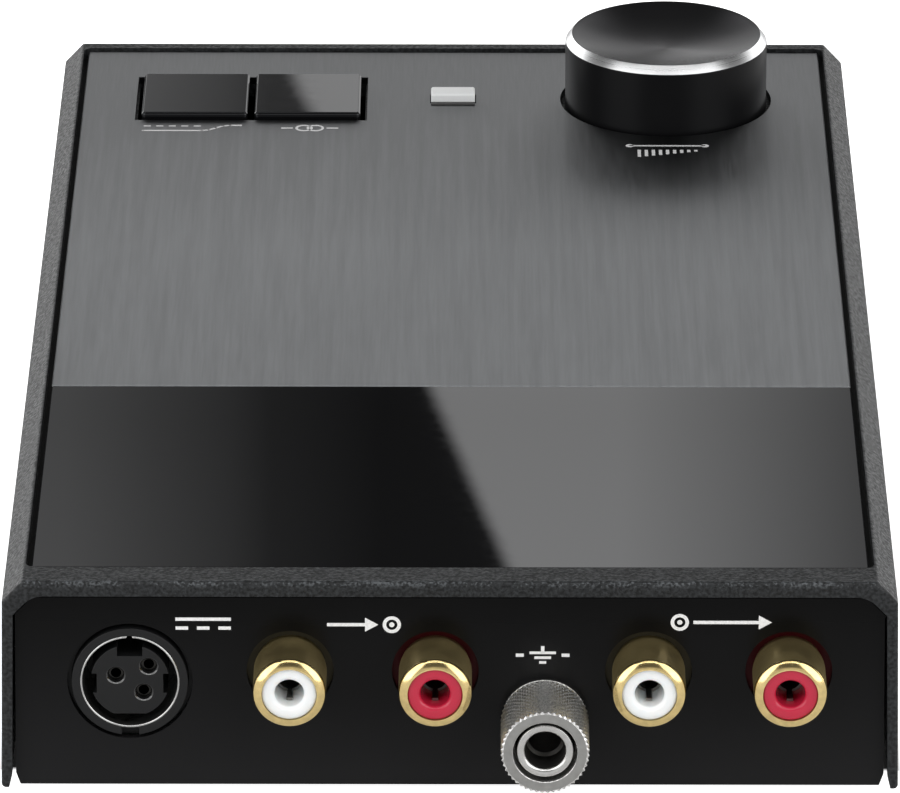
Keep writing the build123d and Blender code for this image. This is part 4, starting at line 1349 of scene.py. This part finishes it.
@dataclass
class GroundTerminal:
    """Hollow post, thumb nut with a diamond knurl, washers and inner nut."""

    teeth: int = 48
    knurl_depth: float = 0.22 * MM
    band_rows: int = 19
    rim: float = 0.3 * MM
    face_step: float = 0.32 * MM
    front_edge: float = 0.1 * MM
    counterbore: float = 3.65 * MM
    counterbore_depth: float = 1.6 * MM
    counterbore_round: float = 0.12 * MM
    nut_bore_round: float = 0.1 * MM
    thread: float = 3.2 * MM
    thread_gap: float = 0.1 * MM
    bore: float = 2.25 * MM
    bore_step: float = 0.35 * MM
    bore_depth: float = 11.0 * MM
    ledge_depth: float = 3.6 * MM
    tip_round: float = 0.16 * MM
    mouth_round: float = 0.5 * MM
    flange_height: float = 0.5 * MM
    flange_round: float = 0.08 * MM
    face_slope: float = 0.9
    smooth_angle: float = 6.0

    def build(self) -> None:
        """Make the nut and the post, and dress the small parts."""
        placing = rear_axis("ground_thumb_nut")
        self.knurl_nut(placing)
        self.turn_post(placing)
        dress(["clamp_washer"], NICKEL)
        dress(["ground_lock_washer", "ground_hex_nut"], ZINC)
        dress(["ground_tag"], CONTACT_TIN)

    def knurl_nut(self, placing: Matrix) -> None:
        """Turn the nut, then press the pits of the knurl into its side.

        Args:
            placing: Matrix that carries the Z axis to the post's.
        """
        node = "ground_thumb_nut"
        radius = radius_of(node)
        back, face = (corner.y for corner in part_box(node))
        bore, floor = self.thread + self.thread_gap, face - self.counterbore_depth
        band_foot, band_top = back + self.rim, face - self.front_edge
        row = (band_top - band_foot) / self.band_rows
        corners = [
            Corner(back, bore),
            Corner(back, radius - self.rim),
            *(Corner(band_foot + row * step, radius) for step in range(self.band_rows + 1)),
            Corner(face, radius - self.face_step),
            Corner(face, self.counterbore, self.counterbore_round, 3),
            Corner(floor, self.counterbore),
            Corner(floor, bore, self.nut_bore_round, 2),
        ]
        mesh = lathe(corners, Matrix.Identity(4), 2 * self.teeth)
        self.press_pits(mesh, radius, band_foot, row)
        bmesh.ops.transform(mesh, matrix=placing, verts=mesh.verts)
        bmesh.ops.recalc_face_normals(mesh, faces=mesh.faces)
        # Painted shade: faces inside the counterbore are nearly black, and the flat faces are a darker copy
        # of the knurl's nickel.
        for part in mesh.faces:
            if self.reach(part, placing) < self.counterbore - HAIR:
                part.material_index = 2
            elif abs(part.normal.y) > self.face_slope:
                part.material_index = 1
        finishes = [KNURL, NUT_FACE_SHADED, PIN_PAINTED_SHADE]
        publish("thumb_nut_knurled", mesh, finishes, "thumb_nut", [node], self.smooth_angle)

    def press_pits(self, mesh: bmesh.types.BMesh, radius: float, foot: float, row: float) -> None:
        """Press every other corner of the nut's side inwards, and fold the faces between along the diamonds.

        Args:
            mesh: The nut, upright.
            radius: Its outer radius.
            foot: Height of the knurl's first row.
            row: Height of a row.
        """
        step = math.pi / self.teeth
        pits = []
        for vertex in mesh.verts:
            level = (vertex.co.z - foot) / row
            if math.hypot(vertex.co.x, vertex.co.y) > radius - HAIR and -0.5 < level < self.band_rows + 0.5:
                column = round(math.atan2(vertex.co.y, vertex.co.x) / step)
                if (column + round(level)) % 2:
                    pits.append(vertex)
        for quad in [side for side in mesh.faces if len(side.verts) == 4]:
            low_corners = [vertex for vertex in quad.verts if vertex in pits]
            if len(low_corners) == 2:
                bmesh.utils.face_split(quad, *low_corners)
        scale = 1.0 - self.knurl_depth / radius
        bmesh.ops.scale(mesh, vec=(scale, scale, 1.0), verts=pits)

    @staticmethod
    def reach(face: bmesh.types.BMFace, placing: Matrix) -> float:
        """Return how far a face's middle lies from the post's axis."""
        spot = face.calc_center_median() - placing.translation
        return math.hypot(spot.x, spot.z)

    def turn_post(self, placing: Matrix) -> None:
        """Turn the hollow post with its rounded tip.

        Args:
            placing: Matrix that carries the Z axis to the post's.
        """
        flange = radius_of("ground_post")
        foot, tip = (corner.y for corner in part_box("ground_post"))
        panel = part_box("base_tray")[1].y
        shelf = panel + self.flange_height
        ledge, end = tip - self.ledge_depth, tip - self.bore_depth
        inner = self.bore - self.bore_step
        corners = [
            Corner(foot, 0.0),
            Corner(foot, self.thread),
            Corner(panel, self.thread),
            Corner(panel, flange),
            Corner(shelf, flange, self.flange_round, 2),
            Corner(shelf, self.thread),
            Corner(tip, self.thread, self.tip_round, 6),
            Corner(tip, self.bore, self.mouth_round, 5),
            Corner(ledge, self.bore),
            Corner(ledge - self.bore_step, inner),
            Corner(end, inner),
            Corner(end, 0.0),
        ]
        mesh = lathe(corners, placing, closed=False)
        # Faces inside the bore are painted darker as shade.
        for face in mesh.faces:
            inside = foot + HAIR < face.calc_center_median().y < tip - self.mouth_round
            face.material_index = int(inside and self.reach(face, placing) < self.bore + HAIR)
        publish("hollow_post", mesh, [NICKEL, BORE_PAINTED_SHADE], "case", ["ground_post"])


# ---- Legends ----
@dataclass
class Legends:
    """Generic marks beside the sockets and controls, in millimetres."""

    stroke: float = 0.4
    thin: float = 0.32
    power_at: Point = (28.0, 22.75)
    power_width: float = 6.3
    input_at: Point = (9.75, 22.75)
    input_width: float = 8.4
    output_at: Point = (-30.8, 23.1)
    output_width: float = 11.5
    ring: float = 1.04
    ring_dot: float = 0.3
    arrow_gap: float = 0.5
    arrow_head: float = 1.5
    earth_at: Point = (-10.55, 19.0)
    earth_bars: tuple[Point, ...] = ((0.3, 3.0), (-0.3, 1.9), (-0.9, 0.8))
    filter_at: Point = (33.3, -62.5)
    filter_bend: tuple[Point, ...] = (
        (-6.3, -0.95), (-4.8, -0.95), (-3.9, -0.7), (-3.0, 0.0), (-2.1, 0.7), (-1.2, 0.95), (6.3, 0.95)
    )
    filter_stroke: float = 0.34
    joined_at: Point = (18.3, -62.5)
    level_at: Point = (-27.3, -55.2)
    level_count: int = 9
    level_pitch: float = 0.9
    level_rule: float = 9.6

    def on_panel(self, spot: Point) -> Stencil:
        """Start marks on the jack panel, read from behind.

        Args:
            spot: Their middle, as X and Z.

        Returns:
            The stencil.
        """
        turn = Matrix(((-1, 0, 0, 0), (0, 0, 1, 0), (0, 1, 0, 0), (0, 0, 0, 1)))
        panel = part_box("base_tray")[1].y
        return Stencil(Matrix.Translation((spot[0] * MM, panel, spot[1] * MM)) @ turn)

    def on_plate(self, spot: Point) -> Stencil:
        """Start marks on the brushed plate, read from the front."""
        return Stencil(Matrix.Translation((spot[0] * MM, spot[1] * MM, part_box("brushed_plate")[1].z)))

    def build(self) -> None:
        """Draw every mark."""
        self.power()
        self.signal("input_mark", self.input_at, self.input_width, True)
        self.signal("output_mark", self.output_at, self.output_width, False)
        self.earth()
        self.filter_curve()
        self.joined_rings()
        self.level_steps()

    def power(self) -> None:
        """Draw the sign for direct current: a rule over three dashes."""
        marks = self.on_panel(self.power_at)
        marks.bar(0, 0.65, self.power_width, self.stroke)
        for step in (-1, 0, 1):
            marks.bar(step * self.power_width / 2.6, -0.45, self.power_width / 4.4, self.stroke)
        marks.finish("power_mark", LEGEND_WHITE, "insulator_white")

    def signal(self, name: str, spot: Point, wide: float, inward: bool) -> None:
        """Draw an arrow into or out of a ring with a dot.

        Args:
            name: Name of the piece.
            spot: Its middle on the panel.
            wide: Its width.
            inward: Whether the arrow ends at the ring, or else starts from it.
        """
        marks = self.on_panel(spot)
        taken = 2 * self.ring + self.arrow_gap
        eye = wide / 2 - self.ring if inward else self.ring - wide / 2
        tip = wide / 2 - taken if inward else wide / 2
        marks.ring(eye, 0, self.ring, self.stroke)
        marks.disc(eye, 0, self.ring_dot, sides=16)
        marks.arrow(tip, 0, wide - taken, self.arrow_head, self.stroke)
        marks.finish(name, LEGEND_WHITE, "insulator_white")

    def earth(self) -> None:
        """Draw the earth sign between two short rules."""
        marks = self.on_panel(self.earth_at)
        marks.bar(0, 0.75, self.stroke, 0.75)
        for level, wide in self.earth_bars:
            marks.bar(0, level, wide, self.thin)
        for side in (-1, 1):
            marks.bar(side * 2.6, 0, 0.9, self.stroke)
        marks.finish("earth_mark", LEGEND_WHITE, "insulator_white")

    def filter_curve(self) -> None:
        """Draw the response of a filter that cuts the lowest notes, over a dashed rule."""
        marks = self.on_plate(self.filter_at)
        for start, end in zip(self.filter_bend, self.filter_bend[1:]):
            marks.line(start, end, self.filter_stroke)
            marks.disc(*end, self.filter_stroke / 2, sides=12)
        for tick in range(5):
            marks.bar(-0.6 + tick * 1.6, -0.7, 0.9, 0.3)
        marks.finish("filter_mark", LEGEND_GREY, "light_lens")

    def joined_rings(self) -> None:
        """Draw two rings that share their middle."""
        marks = self.on_plate(self.joined_at)
        for side in (-1, 1):
            marks.ring(side * 0.72, 0, 1.12, self.thin)
            marks.bar(side * 2.9, 0, 1.5, self.thin)
        marks.finish("joined_mark", LEGEND_GREY, "light_lens")

    def level_steps(self) -> None:
        """Draw a row of bars that grow, over a rule with a dot at each end."""
        marks = self.on_plate(self.level_at)
        for step in range(self.level_count):
            tall = 0.5 + 0.24 * step
            marks.bar((step - (self.level_count - 1) / 2) * self.level_pitch, 0.4 + tall / 2, 0.42, tall)
        marks.bar(0, -1.1, self.level_rule, self.thin)
        for side in (-1, 1):
            marks.disc(side * self.level_rule / 2, -1.1, 0.5, sides=16)
        marks.finish("level_mark", LEGEND_GREY, "light_lens")


# ---- Studio ----
@dataclass(frozen=True)
class Softbox:
    """A rectangular light that points at the middle of the object.

    An azimuth of 90 degrees is straight behind the jack panel.
    """

    name: str
    azimuth: float
    elevation: float
    distance: float
    width: float
    height: float
    power: float
    target: Place = (0.0, 0.0, 0.02)

    def hang(self) -> None:
        """Hang the light."""
        azimuth, elevation = math.radians(self.azimuth), math.radians(self.elevation)
        flat = math.cos(elevation)
        away = Vector((flat * math.cos(azimuth), flat * math.sin(azimuth), math.sin(elevation)))
        data = bpy.data.lights.new(self.name, "AREA")
        data.shape = "RECTANGLE"
        data.size = self.width
        data.size_y = self.height
        data.energy = self.power
        light = bpy.data.objects.new(self.name, data)
        light.location = Vector(self.target) + away * self.distance
        light.rotation_euler = away.to_track_quat("Z", "Y").to_euler()
        bpy.context.scene.collection.objects.link(light)


@dataclass
class Surroundings:
    """What the gloss mirrors: a soft grey room, and a dark flag beside a pale card beyond the front.

    A place beyond the front is told by two slopes, as seen from behind the jack panel: side, which is
    above 0 on the right, and rise, upwards. The stops pair such a slope with a brightness.
    """

    flag_gain: float = 1.45
    sides: Point = (-0.08, 0.08)
    flag_sides: tuple[Point, ...] = (
        (-0.08, 0.62), (-0.0475, 0.46), (-0.037, 0.29), (-0.028, 0.175), (-0.0233, 0.095), (-0.0105, 0.04)
    )
    card_sides: tuple[Point, ...] = ((0.0, 1.3), (0.018, 1.25), (0.030, 0.90), (0.046, 0.42), (0.08, 0.45))
    rises: Point = (0.36, 0.44)
    flag_rises: tuple[Point, ...] = ((0.37, 1.0), (0.385, 0.87), (0.405, 0.55), (0.412, 0.55), (0.43, 0.68))
    card_rises: tuple[Point, ...] = ((0.37, 0.9), (0.412, 0.88), (0.43, 1.0))
    edge_side: float = -0.00406
    edge_rise: float = 0.4091
    edge_lean: float = 0.4
    edge_blur: float = 0.0013
    room: tuple[Point, ...] = ((-1.0, 0.5), (0.0, 0.62), (0.34, 0.55), (0.5, 0.1), (1.0, 0.06))
    near_sides: Point = (0.08, 0.055)
    near_rises: Point = (0.7, 0.5)
    least_ahead: float = 0.01
    facing: float = 0.05
    wings: tuple[tuple[Point, float], ...] = (((-0.25, -0.6), 2.3), ((0.25, 0.6), 1.6))
    wing_rises: Point = (1.6, 0.5)

    def cards(self, tree: NodeTree, side: Socket, rise: Socket) -> Socket:
        """Set the dark flag beside the pale card, with a leaning edge between them.

        Args:
            tree: Nodes of the world.
            side: Slope to the side.
            rise: Slope upwards.

        Returns:
            Their brightness.
        """
        flag, card = (
            tree.product(tree.ramp(side, self.sides, across), tree.ramp(rise, self.rises, up))
            for across, up in ((self.flag_sides, self.flag_rises), (self.card_sides, self.card_rises))
        )
        leaning = tree.product(tree.math("SUBTRACT", rise, self.edge_rise), self.edge_lean)
        beyond = tree.math("SUBTRACT", side, tree.math("ADD", leaning, self.edge_side))
        share = tree.smooth(beyond, (-self.edge_blur, self.edge_blur))
        return tree.mix(share, tree.product(flag, self.flag_gain), card, "FLOAT")

    def brightness(self, tree: NodeTree) -> Socket:
        """Put the room, the cards and two bright wings beside them together.

        Args:
            tree: Nodes of the world.

        Returns:
            The brightness of every direction.
        """
        direction = tree.add("TexCoord", {}).outputs["Generated"]
        front = tree.product(tree.part(direction, "Y"), -1.0)
        ahead = tree.math("MAXIMUM", front, self.least_ahead)
        side = tree.math("DIVIDE", tree.product(tree.part(direction, "X"), -1.0), ahead)
        rise = tree.math("DIVIDE", tree.part(direction, "Z"), ahead)
        facing = tree.math("GREATER_THAN", front, self.facing)
        near = tree.smooth(tree.math("ABSOLUTE", side), self.near_sides)
        where = tree.product(near, tree.smooth(rise, self.near_rises), facing)
        room = tree.ramp(tree.part(direction, "Z"), (-1.0, 1.0), self.room)
        bright = tree.mix(where, room, self.cards(tree, side, rise), "FLOAT")
        spread = tree.product(tree.smooth(tree.math("ABSOLUTE", rise), self.wing_rises), facing)
        for span, level in self.wings:
            bright = tree.math("ADD", bright, tree.product(tree.smooth(side, span), spread, level))
        return bright

    def build(self) -> None:
        """Make the world, plain white where the camera sees it."""
        world = bpy.data.worlds.new("studio")
        bpy.context.scene.world = world
        world.use_nodes = True
        tree = NodeTree(world.node_tree)
        lit = tree.add("Background", {"Color": self.brightness(tree)})
        plain = tree.add("Background", {"Color": WHITE})
        shaders = {1: lit.outputs["Background"], 2: plain.outputs["Background"]}
        both = tree.add("MixShader", {"Fac": tree.seen(), **shaders})
        tree.add("OutputWorld", {"Surface": both.outputs["Shader"]})


@dataclass
class Studio:
    """Floor, soft lights, surroundings and a camera behind and above the jack panel, with a long lens."""

    floor_size: float = 6.0
    softboxes: tuple[Softbox, ...] = (
        Softbox("softbox_right", 38.0, 30.0, 1.3, 1.0, 1.48, 9.5),
        Softbox("softbox_left", 142.0, 30.0, 1.3, 1.0, 1.48, 9.5),
        Softbox("softbox_over", 90.0, 54.0, 1.4, 0.9, 0.3, 2.6),
        Softbox("softbox_top", 90.0, 82.0, 1.4, 0.9, 0.3, 2.2),
    )
    camera_place: Place = (-0.002158, 1.04436, 0.44386)
    camera_turn: Place = (0.129, 22.249, 0.045)
    camera_lens: float = 369.685
    sensor: float = 36.0
    clip: Point = (0.01, 50.0)

    def build(self) -> None:
        """Set up everything around the object."""
        self.lay_floor()
        for softbox in self.softboxes:
            softbox.hang()
        Surroundings().build()
        self.set_camera()
        view = bpy.context.scene.view_settings
        view.view_transform = "Standard"
        view.look = "None"

    def lay_floor(self) -> None:
        """Lay a plain pale floor."""
        mesh = bmesh.new()
        bmesh.ops.create_grid(mesh, x_segments=1, y_segments=1, size=self.floor_size / 2)
        data = bpy.data.meshes.new("floor")
        mesh.to_mesh(data)
        mesh.free()
        data.materials.append(FLOOR.material())
        floor = bpy.data.objects.new("floor", data)
        bpy.context.scene.collection.objects.link(floor)

    def set_camera(self) -> None:
        """Place the camera, turned by its yaw, pitch and roll in degrees from a level view to the front."""
        yaw, pitch, roll = (math.radians(angle) for angle in self.camera_turn)
        ahead = Vector((math.sin(yaw), -math.cos(yaw), 0.0))
        forward = ahead * math.cos(pitch) - Vector(UP) * math.sin(pitch)
        level = Vector((-math.cos(yaw), -math.sin(yaw), 0.0))
        upward = level.cross(forward)
        right = level * math.cos(roll) + upward * math.sin(roll)
        top = upward * math.cos(roll) - level * math.sin(roll)
        data = bpy.data.cameras.new("camera")
        data.lens = self.camera_lens
        data.sensor_width = self.sensor
        data.sensor_fit = "HORIZONTAL"
        data.clip_start, data.clip_end = self.clip
        camera = bpy.data.objects.new("camera", data)
        axes = Matrix((right, top, -forward)).transposed().to_4x4()
        camera.matrix_world = Matrix.Translation(self.camera_place) @ axes
        bpy.context.scene.collection.objects.link(camera)
        bpy.context.scene.camera = camera


def main() -> None:
    """Build the preamplifier and its studio."""
    logging.basicConfig(level=logging.INFO, format="%(message)s")
    jacks = [PhonoJack(f"{way}_{side.name.lower()}", side) for way in ("input", "output") for side in Channel]
    controls = [Inlays(), LevelKnob(), Buttons(), StatusLight()]
    panel = [*jacks, PowerInlet(), GroundTerminal()]
    for part in [Case(), *controls, *panel, Legends(), Interior(), Studio()]:
        part.build()


if __name__ == "__main__":
    main()
